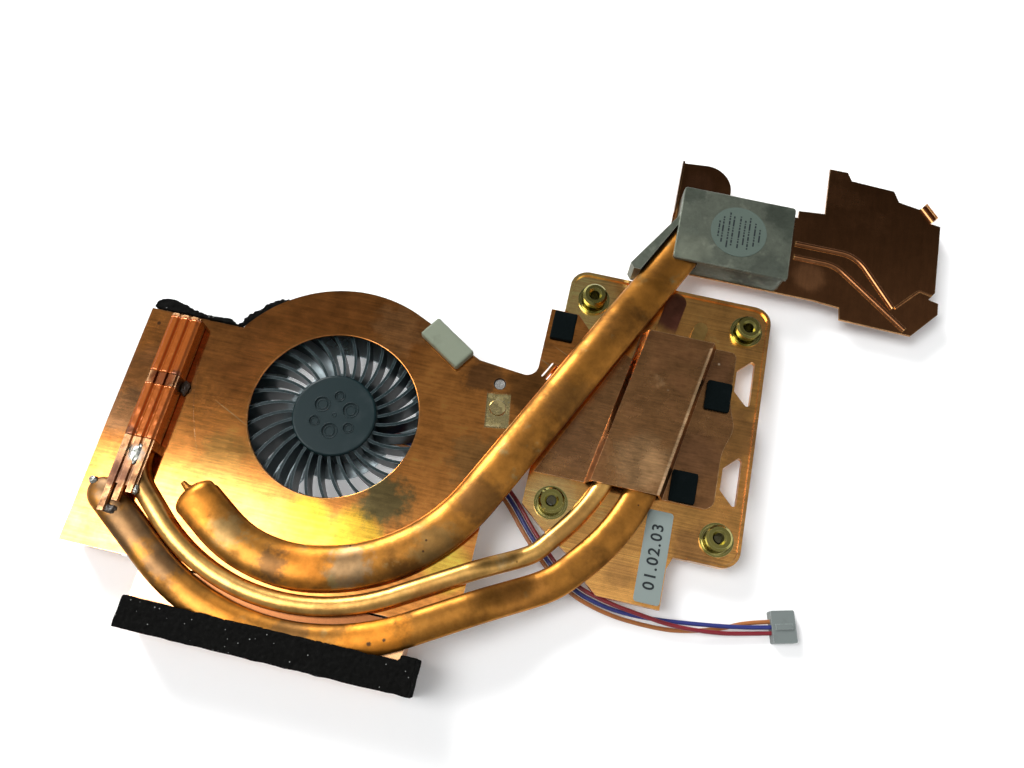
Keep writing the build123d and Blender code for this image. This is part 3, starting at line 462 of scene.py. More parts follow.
    def scratches(self) -> bpy.types.NodeTree:
        """Thin broken lines, all leaning one way.

        Returns:
            The group.
        """
        graph, given, put = self.start(
            Effect.SCRATCHES, {"Scale": self.NUMBER, "Turn": self.NUMBER, "Share": self.NUMBER},
            {"Mask": self.NUMBER})
        turned = graph.add("ShaderNodeVectorRotate", rotation_type="Z_AXIS")
        graph.feed(turned.inputs["Vector"], graph.coords())
        graph.feed(turned.inputs["Angle"], given["Turn"])
        drawn = graph.vector("MULTIPLY", turned.outputs[0], self.SCRATCH_STRETCH)
        lines = graph.noise(drawn, given["Scale"], detail=2.0, rough=0.5)
        graph.feed(put["Mask"], self.above(graph, lines, given["Share"], top=0.80, fall=0.2, edge=0.04))
        return graph.tree


@dataclass(frozen=True)
class StainOrLightPatch:
    """A patch of another colour round one point of the part: some are real marks, others painted light, such as
    highlights and reflections.

    Attributes:
        centre: Place in the part's frame.
        radius: How far it spreads.
        colour: What it turns the surface to.
        strength: Share of that colour at its middle.
        ragged: How broken its edge is.
    """

    centre: Point
    radius: float
    colour: Colour
    strength: float = 0.8
    ragged: float = 1.4


@dataclass(frozen=True)
class LightShadeStripe:
    """A band of painted shade or painted highlight along a straight line.

    Attributes:
        start: Where the line starts in the part's frame.
        end: Where it ends.
        radius: How far the band spreads from the line.
        colour: What it turns the surface to.
        strength: Share of that colour at its middle.
        ragged: How broken its edge is.
    """

    start: Point
    end: Point
    radius: float
    colour: Colour
    strength: float = 0.9
    ragged: float = 0.3


@dataclass(frozen=True)
class Speckle:
    """Scattered specks.

    Attributes:
        scale: Cells to a metre, each with room for a speck.
        size: Radius of a speck as a share of a cell.
        share: Share of the cells that have one.
        colour: Colour of the specks.
    """

    scale: float
    size: float
    share: float
    colour: Colour


@dataclass(frozen=True)
class Scratch:
    """Fine scratches.

    Attributes:
        scale: Lines to a metre.
        turn: Lean of the lines in degrees.
        share: Share of the surface that has them.
        colour: Colour of the lines.
    """

    scale: float
    turn: float
    share: float
    colour: Colour


@dataclass(frozen=True)
class Finish:
    """One surface finish, made as a material from the shared effects.

    Attributes:
        slot: The record's material slot that it dresses.
        clean: Colour of the bare surface.
        tarnish: Colour of the clouds over it.
        bloom: Colour of the smaller patches.
        cloud_scale: Clouds to a metre.
        tarnish_amount: How much is clouded, 0 to 1.
        bloom_amount: How much has patches, 0 to 1.
        metallic: 1 on metal.
        roughness: Roughness of the clean and of the clouded surface.
        grain: Grain lines to a metre along X, Y and Z.
        grain_depth: Depth of the grain.
        wear_and_sheen: Colour of rubbed edges; on the wing and the impeller a painted highlight along the edges.
        wear_and_sheen_width: Width of that band along the edges.
        specks: Scattered specks.
        scratches: Fine scratches.
        stains_and_light_patches: Patches at known places, some real marks, some painted highlights, reflections and
            light.
        light_shade_stripes: Bands of painted shade and painted highlights along known lines.
        mottle: Strength of the fine lines and patches of tone.
        coat: Share of a clear gloss layer.
        specular: Strength of the surface's own mirror reflection, 0.5 being plain.
    """

    slot: str
    clean: Colour
    tarnish: Colour
    bloom: Colour
    cloud_scale: float = 70.0
    tarnish_amount: float = 0.4
    bloom_amount: float = 0.2
    metallic: float = 1.0
    roughness: tuple[float, float] = (0.25, 0.4)
    grain: Point = (900.0, 900.0, 900.0)
    grain_depth: float = 0.01
    wear_and_sheen: Optional[Colour] = None
    wear_and_sheen_width: float = 0.2
    specks: Optional[Speckle] = None
    scratches: Optional[Scratch] = None
    stains_and_light_patches: tuple[StainOrLightPatch, ...] = ()
    light_shade_stripes: tuple[LightShadeStripe, ...] = ()
    mottle: float = 0.0
    coat: float = 0.0
    specular: float = 0.5

    def material(self, shelf: EffectShelf) -> bpy.types.Material:
        """Build the material.

        Args:
            shelf: Where the shared effects come from.

        Returns:
            The finished material.
        """
        material = bpy.data.materials.new(self.slot)
        material.use_nodes = True
        graph = Graph(material.node_tree)
        shader = material.node_tree.nodes["Principled BSDF"]
        patina = shelf.place(graph, Effect.PATINA, clean=self.clean, tarnish=self.tarnish, bloom=self.bloom,
                             cloud_scale=self.cloud_scale, tarnish_amount=self.tarnish_amount,
                             bloom_amount=self.bloom_amount)
        rough = graph.span(patina.outputs["Mask"], 0.0, 1.0, *self.roughness)
        graph.feed(shader.inputs["Base Color"], self.marked(graph, shelf, patina.outputs["Colour"]))
        graph.feed(shader.inputs["Roughness"], rough)
        graph.feed(shader.inputs["Metallic"], self.metallic)
        graph.feed(shader.inputs["Coat Weight"], self.coat)
        graph.feed(shader.inputs["Specular IOR Level"], self.specular)
        grain = shelf.place(graph, Effect.GRAIN, stretch=self.grain)
        bump = graph.add("ShaderNodeBump")
        graph.feed(bump.inputs["Distance"], self.grain_depth * MM)
        graph.feed(bump.inputs["Height"], grain.outputs["Height"])
        graph.feed(shader.inputs["Normal"], bump.outputs[0])
        return material

    def marked(self, graph: Graph, shelf: EffectShelf, colour: bpy.types.NodeSocket) -> bpy.types.NodeSocket:
        """Lay rubbed edges and painted edge highlights, scratches, marks and painted light patches, bands of
        painted light and shade, mottling and specks over a colour.

        Args:
            graph: The material's tree.
            shelf: Where the shared effects come from.
            colour: The colour under the marks.

        Returns:
            The colour with the marks.
        """
        if self.wear_and_sheen:
            mark = shelf.place(graph, Effect.WEAR_AND_SHEEN, width=self.wear_and_sheen_width * MM)
            colour = graph.mix(mark.outputs["Mask"], colour, self.wear_and_sheen)
        if self.scratches:
            mark = shelf.place(graph, Effect.SCRATCHES, scale=self.scratches.scale,
                               turn=math.radians(self.scratches.turn), share=self.scratches.share)
            colour = graph.mix(mark.outputs["Mask"], colour, self.scratches.colour)
        # Patches: real marks, and painted highlights, reflections and light.
        for stain_or_light in self.stains_and_light_patches:
            mark = shelf.place(graph, Effect.STAIN_OR_LIGHT, centre=Vector(stain_or_light.centre) * MM, radius=stain_or_light.radius * MM,
                               ragged=stain_or_light.ragged)
            share = graph.maths("MULTIPLY", mark.outputs["Mask"], stain_or_light.strength)
            colour = graph.mix(share, colour, stain_or_light.colour)
        # Bands of painted shade and painted highlights.
        for light_shade_stripe in self.light_shade_stripes:
            start = Vector(light_shade_stripe.start) * MM
            along = Vector(light_shade_stripe.end) * MM - start
            mark = shelf.place(graph, Effect.LIGHT_SHADE_STRIPE, start=start, along=along, radius=light_shade_stripe.radius * MM,
                               ragged=light_shade_stripe.ragged)
            share = graph.maths("MULTIPLY", mark.outputs["Mask"], light_shade_stripe.strength)
            colour = graph.mix(share, colour, light_shade_stripe.colour)
        if self.mottle:
            mark = shelf.place(graph, Effect.MOTTLE, under=colour, stretch=self.grain, depth=self.mottle)
            colour = mark.outputs["Colour"]
        if self.specks:
            mark = shelf.place(graph, Effect.SPECKS, scale=self.specks.scale, size=self.specks.size,
                               share=self.specks.share)
            colour = graph.mix(mark.outputs["Mask"], colour, self.specks.colour)
        return colour


DARK_FLUX: Colour = (0.05, 0.035, 0.025)
PALE_COPPER: Colour = (0.95, 0.62, 0.36)

FINISHES: tuple[Finish, ...] = (
    Finish("cover_copper", (0.90, 0.355, 0.085), (0.52, 0.19, 0.045), (0.76, 0.31, 0.085), 30.0, 0.62, 0.24,
           roughness=(0.075, 0.14), grain=(120.0, 1500.0, 120.0), grain_depth=0.0012, wear_and_sheen=PALE_COPPER,
           wear_and_sheen_width=0.25, specks=Speckle(160.0, 0.10, 0.10, (0.20, 0.09, 0.04)),
           scratches=Scratch(900.0, 24.0, 0.28, (0.85, 0.52, 0.26)),
           stains_and_light_patches=(StainOrLightPatch((-84.0, 22.0, 10.5), 44.0, (0.25, 0.09, 0.024), 0.60, 0.9),
                   StainOrLightPatch((-112.0, -9.0, 10.5), 19.0, (0.36, 0.135, 0.04), 0.6, 1.3),
                   # Painted reflection: these three yellow patches stand for the bright overhead light mirrored in
                   # the cover.
                   StainOrLightPatch((-74.5, -45.0, 10.5), 7.5, (1.0, 0.62, 0.06), 0.85, 0.5),
                   StainOrLightPatch((-62.5, -45.5, 10.5), 8.0, (1.0, 0.62, 0.06), 0.85, 0.6),
                   StainOrLightPatch((-40.0, -48.5, 10.5), 7.0, (1.0, 0.66, 0.10), 0.85, 0.4),
                   StainOrLightPatch((-30.5, -2.0, 10.5), 9.0, (0.28, 0.12, 0.035), 0.85, 1.0),
                   StainOrLightPatch((-100.0, -16.0, 10.5), 9.0, (0.42, 0.15, 0.04), 0.55, 1.8),
                   StainOrLightPatch((-66.0, 6.5, 10.5), 9.0, (0.60, 0.30, 0.12), 0.5, 1.8),
                   StainOrLightPatch((-98.0, -36.0, 10.5), 9.0, (0.58, 0.36, 0.10), 0.5, 1.6),
                   StainOrLightPatch((-58.0, -36.5, 10.5), 8.0, (0.18, 0.155, 0.068), 0.93),
                   StainOrLightPatch((-43.0, -1.0, 10.5), 6.0, (0.20, 0.10, 0.045), 0.7),
                   StainOrLightPatch((-40.0, -22.0, 10.5), 8.0, (0.44, 0.25, 0.09), 0.6, 1.6),
                   StainOrLightPatch((-112.6, -20.6, 10.5), 2.2, DARK_FLUX, 0.85),
                   StainOrLightPatch((-124.0, -19.0, 10.5), 10.0, (0.42, 0.19, 0.08), 0.6, 1.0),
                   StainOrLightPatch((-125.0, -29.5, 10.5), 8.0, (0.40, 0.205, 0.095), 0.8, 1.0)), mottle=1.3),
    Finish("pipe_copper", (0.38, 0.158, 0.027), (0.125, 0.053, 0.011), (0.27, 0.18, 0.068), 70.0, 0.60, 0.28,
           metallic=0.94, roughness=(0.32, 0.47), grain=(420.0, 420.0, 420.0), grain_depth=0.03,
           specks=Speckle(240.0, 0.08, 0.10, (0.07, 0.035, 0.016)),
           stains_and_light_patches=(StainOrLightPatch((-98.5, -47.5, 14.5), 6.5, (0.56, 0.205, 0.026), 0.75),
                   StainOrLightPatch((-90.0, -52.0, 14.0), 5.0, (0.22, 0.15, 0.06), 0.7, 1.8),
                   StainOrLightPatch((-72.0, -55.0, 14.6), 8.0, (0.58, 0.205, 0.026), 0.7, 1.8),
                   StainOrLightPatch((-61.0, -53.5, 14.6), 6.0, (0.24, 0.18, 0.105), 0.65, 1.8),
                   StainOrLightPatch((-78.0, -57.0, 13.6), 5.0, (0.09, 0.05, 0.024), 0.75, 1.8),
                   StainOrLightPatch((-43.0, -45.0, 14.6), 7.0, (0.22, 0.14, 0.05), 0.6, 1.8),
                   StainOrLightPatch((-36.0, -32.0, 14.6), 7.0, (0.13, 0.06, 0.018), 0.7, 1.8),
                   StainOrLightPatch((-20.0, -4.0, 13.5), 8.0, (0.13, 0.06, 0.016), 0.6, 1.8),
                   StainOrLightPatch((-7.5, 28.5, 12.0), 8.0, (0.46, 0.19, 0.028), 0.6, 1.4),
                   StainOrLightPatch((-52.0, -67.0, 13.4), 9.0, (0.66, 0.235, 0.026), 0.75, 1.6),
                   StainOrLightPatch((-84.0, -66.0, 13.4), 8.0, (0.54, 0.20, 0.026), 0.7, 1.8),
                   StainOrLightPatch((-70.0, -69.0, 13.4), 5.0, (0.15, 0.08, 0.03), 0.7, 1.8),
                   StainOrLightPatch((-102.0, -60.0, 13.4), 7.0, (0.13, 0.08, 0.042), 0.8, 1.8),
                   StainOrLightPatch((-112.5, -55.5, 13.4), 8.0, (0.12, 0.075, 0.04), 0.8, 1.2),
                   StainOrLightPatch((-119.5, -49.0, 13.0), 5.0, (0.16, 0.10, 0.055), 0.85),
                   StainOrLightPatch((-22.0, -50.0, 11.0), 8.0, (0.46, 0.19, 0.04), 0.5, 1.8),
                   StainOrLightPatch((-52.3, -68.4, 13.6), 0.65, DARK_FLUX, 0.9, 1.2),
                   StainOrLightPatch((-49.3, -66.9, 13.6), 0.5, DARK_FLUX, 0.9, 1.2),
                   StainOrLightPatch((8.0, 25.0, 8.0), 6.0, (0.24, 0.15, 0.045), 0.9, 0.3)), mottle=0.8),
    Finish("pipe_bright", (0.70, 0.39, 0.11), (0.40, 0.19, 0.05), (0.74, 0.48, 0.20), 55.0, 0.52, 0.28,
           roughness=(0.31, 0.43), grain=(420.0, 420.0, 420.0), grain_depth=0.012,
           specks=Speckle(240.0, 0.13, 0.06, (0.12, 0.06, 0.025)),
           stains_and_light_patches=(StainOrLightPatch((-113.0, -44.0, 12.0), 8.0, (0.30, 0.15, 0.055), 0.7, 1.6),
                   StainOrLightPatch((-14.0, -32.0, 9.0), 11.0, (0.36, 0.18, 0.05), 0.75, 1.2),
                   StainOrLightPatch((1.6, 28.0, 8.0), 9.0, (0.11, 0.036, 0.026), 0.96, 0.3)), mottle=0.9),
    Finish("plate_copper", (0.92, 0.46, 0.13), (0.62, 0.285, 0.078), (0.95, 0.58, 0.20), 60.0, 0.46, 0.26,
           roughness=(0.16, 0.30), grain=(14.0, 1700.0, 900.0), grain_depth=0.016, wear_and_sheen=PALE_COPPER,
           # Painted reflection: the two pale yellow patches on the left of the plate stand for light mirrored in
           # it.
           stains_and_light_patches=(StainOrLightPatch((-24.0, 27.0, 6.5), 12.0, (1.0, 0.70, 0.26), 0.95, 1.0),
                   StainOrLightPatch((-20.0, -27.0, 6.5), 9.0, (1.0, 0.66, 0.26), 0.8, 1.0),
                   StainOrLightPatch((21.0, 0.0, 6.5), 9.0, (0.46, 0.22, 0.08), 0.6, 1.6),
                   StainOrLightPatch((16.0, -31.0, 6.5), 8.0, (0.40, 0.19, 0.07), 0.7, 1.4),
                   StainOrLightPatch((-1.0, -40.0, 6.5), 4.5, (0.52, 0.26, 0.09), 0.5, 1.6),
                   StainOrLightPatch((22.0, 27.0, 6.5), 6.0, (0.46, 0.24, 0.09), 0.35, 1.6)), mottle=1.0),
    Finish("clamp_copper", (0.42, 0.205, 0.08), (0.21, 0.098, 0.04), (0.50, 0.275, 0.125), 70.0, 0.60, 0.26,
           roughness=(0.24, 0.38), grain=(260.0, 2400.0, 900.0), grain_depth=0.014, wear_and_sheen=PALE_COPPER,
           specks=Speckle(420.0, 0.16, 0.05, (0.78, 0.60, 0.42)),
           scratches=Scratch(1100.0, -62.0, 0.30, (0.80, 0.56, 0.36)),
           stains_and_light_patches=(StainOrLightPatch((-1.0, -14.0, 10.3), 9.0, (0.64, 0.37, 0.17), 0.75, 1.2),
                   StainOrLightPatch((-17.0, -12.0, 7.0), 8.0, (0.30, 0.15, 0.07), 0.6, 1.6),
                   StainOrLightPatch((14.0, 14.0, 7.0), 7.0, (0.22, 0.105, 0.05), 0.7, 1.4),
                   StainOrLightPatch((12.0, -8.0, 7.0), 8.0, (0.20, 0.096, 0.045), 0.7, 1.2)),
           # Painted shade: the dark band along the hat's left wall. Painted highlight: the pale band along its
           # right top edge.
           light_shade_stripes=(LightShadeStripe((-5.6, 18.8, 8.8), (-12.6, -20.4, 8.8), 1.7, (0.055, 0.026, 0.012)),
                    LightShadeStripe((11.6, 18.8, 10.3), (4.6, -20.4, 10.3), 0.8, (0.95, 0.62, 0.34), 0.85)), mottle=1.2),
    Finish("strip_copper", (0.52, 0.27, 0.12), (0.13, 0.06, 0.03), (0.36, 0.27, 0.19), 150.0, 0.68, 0.26,
           roughness=(0.24, 0.5), grain=(900.0, 150.0, 900.0), grain_depth=0.02, wear_and_sheen=(0.80, 0.50, 0.28),
           stains_and_light_patches=(StainOrLightPatch((-117.0, -20.7, 14.9), 4.6, (0.10, 0.028, 0.01), 0.97, 0.4),
                   StainOrLightPatch((-119.6, -44.0, 14.9), 6.0, (0.13, 0.06, 0.04), 0.75, 0.8),
                   StainOrLightPatch((-116.4, -39.5, 14.9), 2.6, (0.26, 0.23, 0.20), 0.9)), mottle=0.8),
    # The wide pale gold edge colour is a painted highlight on the ribs and edges of the wing.
    Finish("wing_copper", (0.30, 0.125, 0.05), (0.17, 0.072, 0.03), (0.25, 0.11, 0.047), 40.0, 0.5, 0.18,
           roughness=(0.18, 0.30), grain=(1200.0, 160.0, 900.0), grain_depth=0.006, wear_and_sheen=(0.95, 0.55, 0.22),
           wear_and_sheen_width=0.5, scratches=Scratch(700.0, 40.0, 0.22, (0.5, 0.28, 0.15)),
           stains_and_light_patches=(StainOrLightPatch((34.5, 47.6, 6.0), 5.5, (0.78, 0.35, 0.15), 0.75, 0.5),
                   StainOrLightPatch((2.0, 69.0, 6.0), 5.0, (0.42, 0.18, 0.09), 0.6, 1.0)), mottle=0.6),
    Finish("contact_copper", (0.90, 0.50, 0.25), (0.66, 0.34, 0.16), (0.70, 0.62, 0.55), 80.0, 0.35, 0.20,
           roughness=(0.20, 0.34), grain=(160.0, 2400.0, 900.0), grain_depth=0.01, wear_and_sheen=PALE_COPPER),
    Finish("bush_brass", (0.36, 0.32, 0.09), (0.17, 0.155, 0.042), (0.48, 0.43, 0.17), 260.0, 0.45, 0.2,
           roughness=(0.16, 0.30), grain=(700.0, 700.0, 3000.0), grain_depth=0.006, wear_and_sheen=(0.85, 0.78, 0.45)),
    Finish("leaf_brass", (0.50, 0.40, 0.18), (0.27, 0.22, 0.10), (0.42, 0.40, 0.26), 420.0, 0.55, 0.35,
           roughness=(0.22, 0.4), grain=(900.0, 900.0, 900.0), grain_depth=0.03, wear_and_sheen=(0.9, 0.8, 0.5)),
    Finish("sleeve_brass", (0.66, 0.50, 0.22), (0.42, 0.30, 0.12), (0.7, 0.55, 0.3), 300.0,
           wear_and_sheen=(0.85, 0.7, 0.4)),
    Finish("fin_metal", (0.90, 0.50, 0.24), (0.66, 0.34, 0.15), (0.82, 0.50, 0.28), 60.0, 0.45, 0.25,
           roughness=(0.26, 0.42), wear_and_sheen=PALE_COPPER, wear_and_sheen_width=0.12,
           # Painted shade: the dark band darkens the fins where they show between the pipes.
           light_shade_stripes=(LightShadeStripe((-92.0, -66.0, 10.5), (-52.0, -63.0, 10.5), 6.5, (0.22, 0.075, 0.025), 0.95),)),
    Finish("base_steel", (0.30, 0.35, 0.365), (0.22, 0.26, 0.275), (0.27, 0.315, 0.33), 90.0, 0.4, 0.2,
           metallic=0.45, roughness=(0.26, 0.40), grain=(1600.0, 160.0, 900.0), grain_depth=0.006,
           wear_and_sheen=(0.85, 0.87, 0.88),
           # Painted light: the large pale blue-white patch brightens the tray in the shade under the blades.
           stains_and_light_patches=(StainOrLightPatch((-75.8, -18.8, 0.8), 38.0, (0.80, 0.95, 1.0), 0.95, 0.2),
                   StainOrLightPatch((-38.6, -1.0, 9.0), 3.4, (0.05, 0.05, 0.052), 0.9, 0.4))),
    Finish("block_grey", (0.155, 0.175, 0.136), (0.082, 0.096, 0.074), (0.215, 0.235, 0.185), 90.0, 0.58, 0.34,
           metallic=0.75, roughness=(0.40, 0.56), grain=(800.0, 800.0, 800.0), grain_depth=0.05,
           wear_and_sheen=(0.55, 0.58, 0.50), scratches=Scratch(800.0, 12.0, 0.24, (0.40, 0.42, 0.36)),
           stains_and_light_patches=(StainOrLightPatch((27.0, 60.0, 13.8), 9.0, (0.055, 0.068, 0.052), 0.75),
                   StainOrLightPatch((-1.0, 62.0, 13.8), 6.0, (0.075, 0.09, 0.07), 0.65),
                   StainOrLightPatch((2.0, 44.0, 13.8), 6.0, (0.22, 0.24, 0.18), 0.6),
                   StainOrLightPatch((22.0, 43.0, 13.8), 6.0, (0.085, 0.10, 0.08), 0.6)), mottle=0.6),
    Finish("steel", (0.62, 0.61, 0.58), (0.40, 0.39, 0.36), (0.5, 0.46, 0.4), 300.0, wear_and_sheen=(0.85, 0.85, 0.82)),
    # The pale edge colour is a painted highlight along the edges of the blades and the hub.
    Finish("impeller_plastic", (0.003, 0.0135, 0.0155), (0.0055, 0.0165, 0.019), (0.009, 0.021, 0.024), 160.0,
           0.4, 0.12, metallic=0.0, roughness=(0.32, 0.44), grain=(2600.0, 2600.0, 2600.0), grain_depth=0.006,
           wear_and_sheen=(0.20, 0.25, 0.27), wear_and_sheen_width=0.15, specular=0.24),
    Finish("magnet", (0.10, 0.10, 0.105), (0.06, 0.06, 0.065), (0.14, 0.13, 0.12), 300.0, metallic=0.3,
           roughness=(0.5, 0.65)),
    Finish("board", (0.03, 0.13, 0.07), (0.02, 0.08, 0.045), (0.30, 0.24, 0.08), 300.0, metallic=0.0,
           roughness=(0.35, 0.5)),
    Finish("foam", (0.0045, 0.0045, 0.0042), (0.008, 0.008, 0.0075), (0.003, 0.003, 0.003), 900.0, 0.5, 0.3,
           metallic=0.0, roughness=(0.95, 1.0), grain=(3000.0, 3000.0, 3000.0), grain_depth=0.08,
           specks=Speckle(900.0, 0.14, 0.30, (0.30, 0.31, 0.30)), specular=0.05),
    Finish("gasket_rubber", (0.17, 0.195, 0.138), (0.14, 0.16, 0.112), (0.22, 0.245, 0.18), 220.0, 0.4, 0.2,
           metallic=0.0, roughness=(0.75, 0.85), grain=(2500.0, 2500.0, 2500.0), grain_depth=0.03),
    Finish("pad_rubber", (0.0022, 0.0040, 0.0042), (0.0035, 0.0055, 0.0058), (0.006, 0.008, 0.0085), 300.0,
           0.4, 0.2, metallic=0.0, roughness=(0.8, 0.9), grain=(2500.0, 2500.0, 2500.0), grain_depth=0.02,
           specks=Speckle(700.0, 0.12, 0.02, (0.08, 0.09, 0.09)), specular=0.03),
    Finish("tape_film", (0.44, 0.105, 0.011), (0.28, 0.056, 0.006), (0.54, 0.17, 0.026), 130.0, 0.45, 0.2,
           metallic=0.55, roughness=(0.16, 0.24), grain=(300.0, 120.0, 300.0), grain_depth=0.03, coat=0.25,
           stains_and_light_patches=(StainOrLightPatch((-114.2, -19.0, 14.4), 1.6, (0.10, 0.03, 0.01), 0.8),
                   StainOrLightPatch((-119.6, -34.6, 14.4), 1.8, (0.12, 0.04, 0.015), 0.8))),
    Finish("label_paper", (0.205, 0.245, 0.232), (0.175, 0.212, 0.20), (0.23, 0.27, 0.258), 160.0, 0.35, 0.2,
           metallic=0.0, roughness=(0.5, 0.6), grain=(4000.0, 4000.0, 4000.0), grain_depth=0.004, specular=0.3),
    Finish("sticker_paper", (0.078, 0.105, 0.088), (0.062, 0.085, 0.072), (0.092, 0.12, 0.102), 240.0, 0.35, 0.2,
           metallic=0.0, roughness=(0.5, 0.62), grain=(4000.0, 4000.0, 4000.0), grain_depth=0.004, specular=0.3),
    Finish("wire_red", (0.20, 0.014, 0.022), (0.15, 0.010, 0.016), (0.26, 0.03, 0.035), 300.0, metallic=0.0,
           roughness=(0.38, 0.5)),
    Finish("wire_blue", (0.022, 0.03, 0.17), (0.016, 0.02, 0.12), (0.04, 0.05, 0.22), 300.0, metallic=0.0,
           roughness=(0.38, 0.5)),
    Finish("wire_orange", (0.36, 0.125, 0.03), (0.28, 0.09, 0.02), (0.42, 0.17, 0.05), 300.0, metallic=0.0,
           roughness=(0.38, 0.5)),
    Finish("plug_white", (0.16, 0.186, 0.18), (0.125, 0.145, 0.14), (0.195, 0.22, 0.214), 260.0, metallic=0.0,
           roughness=(0.4, 0.5), wear_and_sheen=(0.36, 0.40, 0.39), specular=0.3),
)

SOLDER_FINISH = Finish("solder", (0.40, 0.41, 0.37), (0.22, 0.22, 0.19), (0.50, 0.50, 0.46), 400.0, 0.5, 0.25,
                       roughness=(0.26, 0.44), grain_depth=0.02)
FLUX_FINISH = Finish("flux", (0.045, 0.03, 0.02), (0.025, 0.016, 0.012), (0.16, 0.13, 0.10), 500.0, 0.45, 0.2,
                     metallic=0.0, roughness=(0.35, 0.6), grain_depth=0.05)
PRINT_FINISH = Finish("print", (0.020, 0.024, 0.026), (0.03, 0.034, 0.035), (0.05, 0.055, 0.055), 600.0, 0.4, 0.25,
                      metallic=0.0, roughness=(0.55, 0.65), specular=0.1)

NODE_SLOTS: dict[str, tuple[str, ...]] = {
    "cover_copper": ("fan_cover",),
    "pipe_copper": ("heat_pipe_gpu", "heat_pipe_outer"),
    "pipe_bright": ("heat_pipe_inner",),
    "plate_copper": ("cpu_base",),
    "clamp_copper": ("cpu_clamp",),
    "strip_copper": ("ribbed_strip",),
    "wing_copper": ("wing_sheet",),
    "contact_copper": ("cpu_contact", "gpu_contact"),
    "bush_brass": ("mount_bush_1", "mount_bush_2", "mount_bush_3", "mount_bush_4"),
    "leaf_brass": ("contact_leaf",),
    "sleeve_brass": ("bearing_sleeve",),
    "fin_metal": ("side_fins", "rear_fins"),
    "base_steel": ("fan_base",),
    "block_grey": ("gpu_block", "gpu_cap"),
    "steel": ("cover_screw", "fan_shaft", "stator_core"),
    "impeller_plastic": ("impeller",),
    "magnet": ("magnet_ring",),
    "board": ("motor_board",),
    "label_paper": ("date_label",),
    "sticker_paper": ("round_sticker",),
    "plug_white": ("fan_plug",),
}


class Wardrobe:
    """Every finish as a material, and the calls that put it on pieces.

    Attributes:
        materials: Material of each slot.
        solder: Material of the drops of solder.
        flux: Material of the drops of flux.
        ink: Material of the print.
    """

    def __init__(self) -> None:
        """Build the materials of all finishes."""
        shelf = EffectShelf()
        self.materials = {finish.slot: finish.material(shelf) for finish in FINISHES}
        self.solder = SOLDER_FINISH.material(shelf)
        self.flux = FLUX_FINISH.material(shelf)
        self.ink = PRINT_FINISH.material(shelf)

    def dress_nodes(self) -> None:
        """Put each slot's finish on the solids that keep their own shape."""
        for slot, nodes in NODE_SLOTS.items():
            for node in nodes:
                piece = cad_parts[node]
                if not piece.material_slots:
                    piece.data.materials.append(self.materials[slot])
                for holder in piece.material_slots:
                    holder.material = self.materials[slot]
                log.info("dressed %s in %s", node, slot)

    def dress(self, piece: bpy.types.Object, slot: str, body: Body = Body.FRAME) -> bpy.types.Object:
        """Finish a new piece and make it ride.

        Args:
            piece: The piece, in place.
            slot: The record's slot for its finish.
            body: The body that carries it.

        Returns:
            The same piece.
        """
        piece.data.materials.clear()
        piece.data.materials.append(self.materials[slot])
        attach(piece, body.value)
        log.info("made %s in %s", piece.name, slot)
        return piece

    def dress_extra(self, piece: bpy.types.Object, material: bpy.types.Material) -> bpy.types.Object:
        """Finish a small mark that has no slot of its own, and make it ride on the frame.

        Args:
            piece: The mark, in place.
            material: Its finish.

        Returns:
            The same mark.
        """
        piece.data.materials.clear()
        piece.data.materials.append(material)
        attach(piece, Body.FRAME.value)
        log.info("made %s", piece.name)
        return piece


def link(piece: bpy.types.Object) -> bpy.types.Object:
    """Put a new object in the scene."""
    bpy.context.scene.collection.objects.link(piece)
    return piece


def mesh_piece(name: str, shape: bmesh.types.BMesh, smooth: bool = True) -> bpy.types.Object:
    """Turn a bmesh into an object in the scene.

    Args:
        name: The piece's name.
        shape: Its mesh, in metres, which is freed.
        smooth: Whether its faces are shaded smooth.

    Returns:
        The new object.
    """
    mesh = bpy.data.meshes.new(name)
    shape.to_mesh(mesh)
    shape.free()
    mesh.polygons.foreach_set("use_smooth", [smooth] * len(mesh.polygons))
    return link(bpy.data.objects.new(name, mesh))


def drawn_mesh(piece: bpy.types.Object) -> bpy.types.Mesh:
    """Mesh of a piece as it is drawn, with its modifiers and curves worked out."""
    return bpy.data.meshes.new_from_object(piece.evaluated_get(bpy.context.evaluated_depsgraph_get()))


def baked(piece: bpy.types.Object) -> bpy.types.Object:
    """Apply all modifiers of a piece to its mesh.

    Args:
        piece: The piece.

    Returns:
        The same piece.
    """
    mesh = drawn_mesh(piece)
    piece.modifiers.clear()
    piece.data = mesh
    return piece


def smooth_curve(name: str, route: Sequence[Point], radius: float) -> bpy.types.Curve:
    """Draw a smooth round line through control points.

    Args:
        name: The curve's name.
        route: Its control points.
        radius: Radius of its section.

    Returns:
        The curve.
    """
    curve = bpy.data.curves.new(name, "CURVE")
    curve.dimensions = "3D"
    curve.bevel_depth = radius * MM
    spline = curve.splines.new("NURBS")
    spline.points.add(len(route) - 1)
    for point, place in zip(spline.points, route):
        point.co = (*(part * MM for part in place), 1.0)
    spline.order_u = CURVE_ORDER
    spline.use_endpoint_u = True
    return curve


def rumple(place: Vector) -> float:
    """Uneven noise, about 0 on average, with each layer half as wide and half as high as the last."""
    return noise.fractal(place, RUMPLE_FALL, RUMPLE_STEP, RUMPLE_LAYERS)


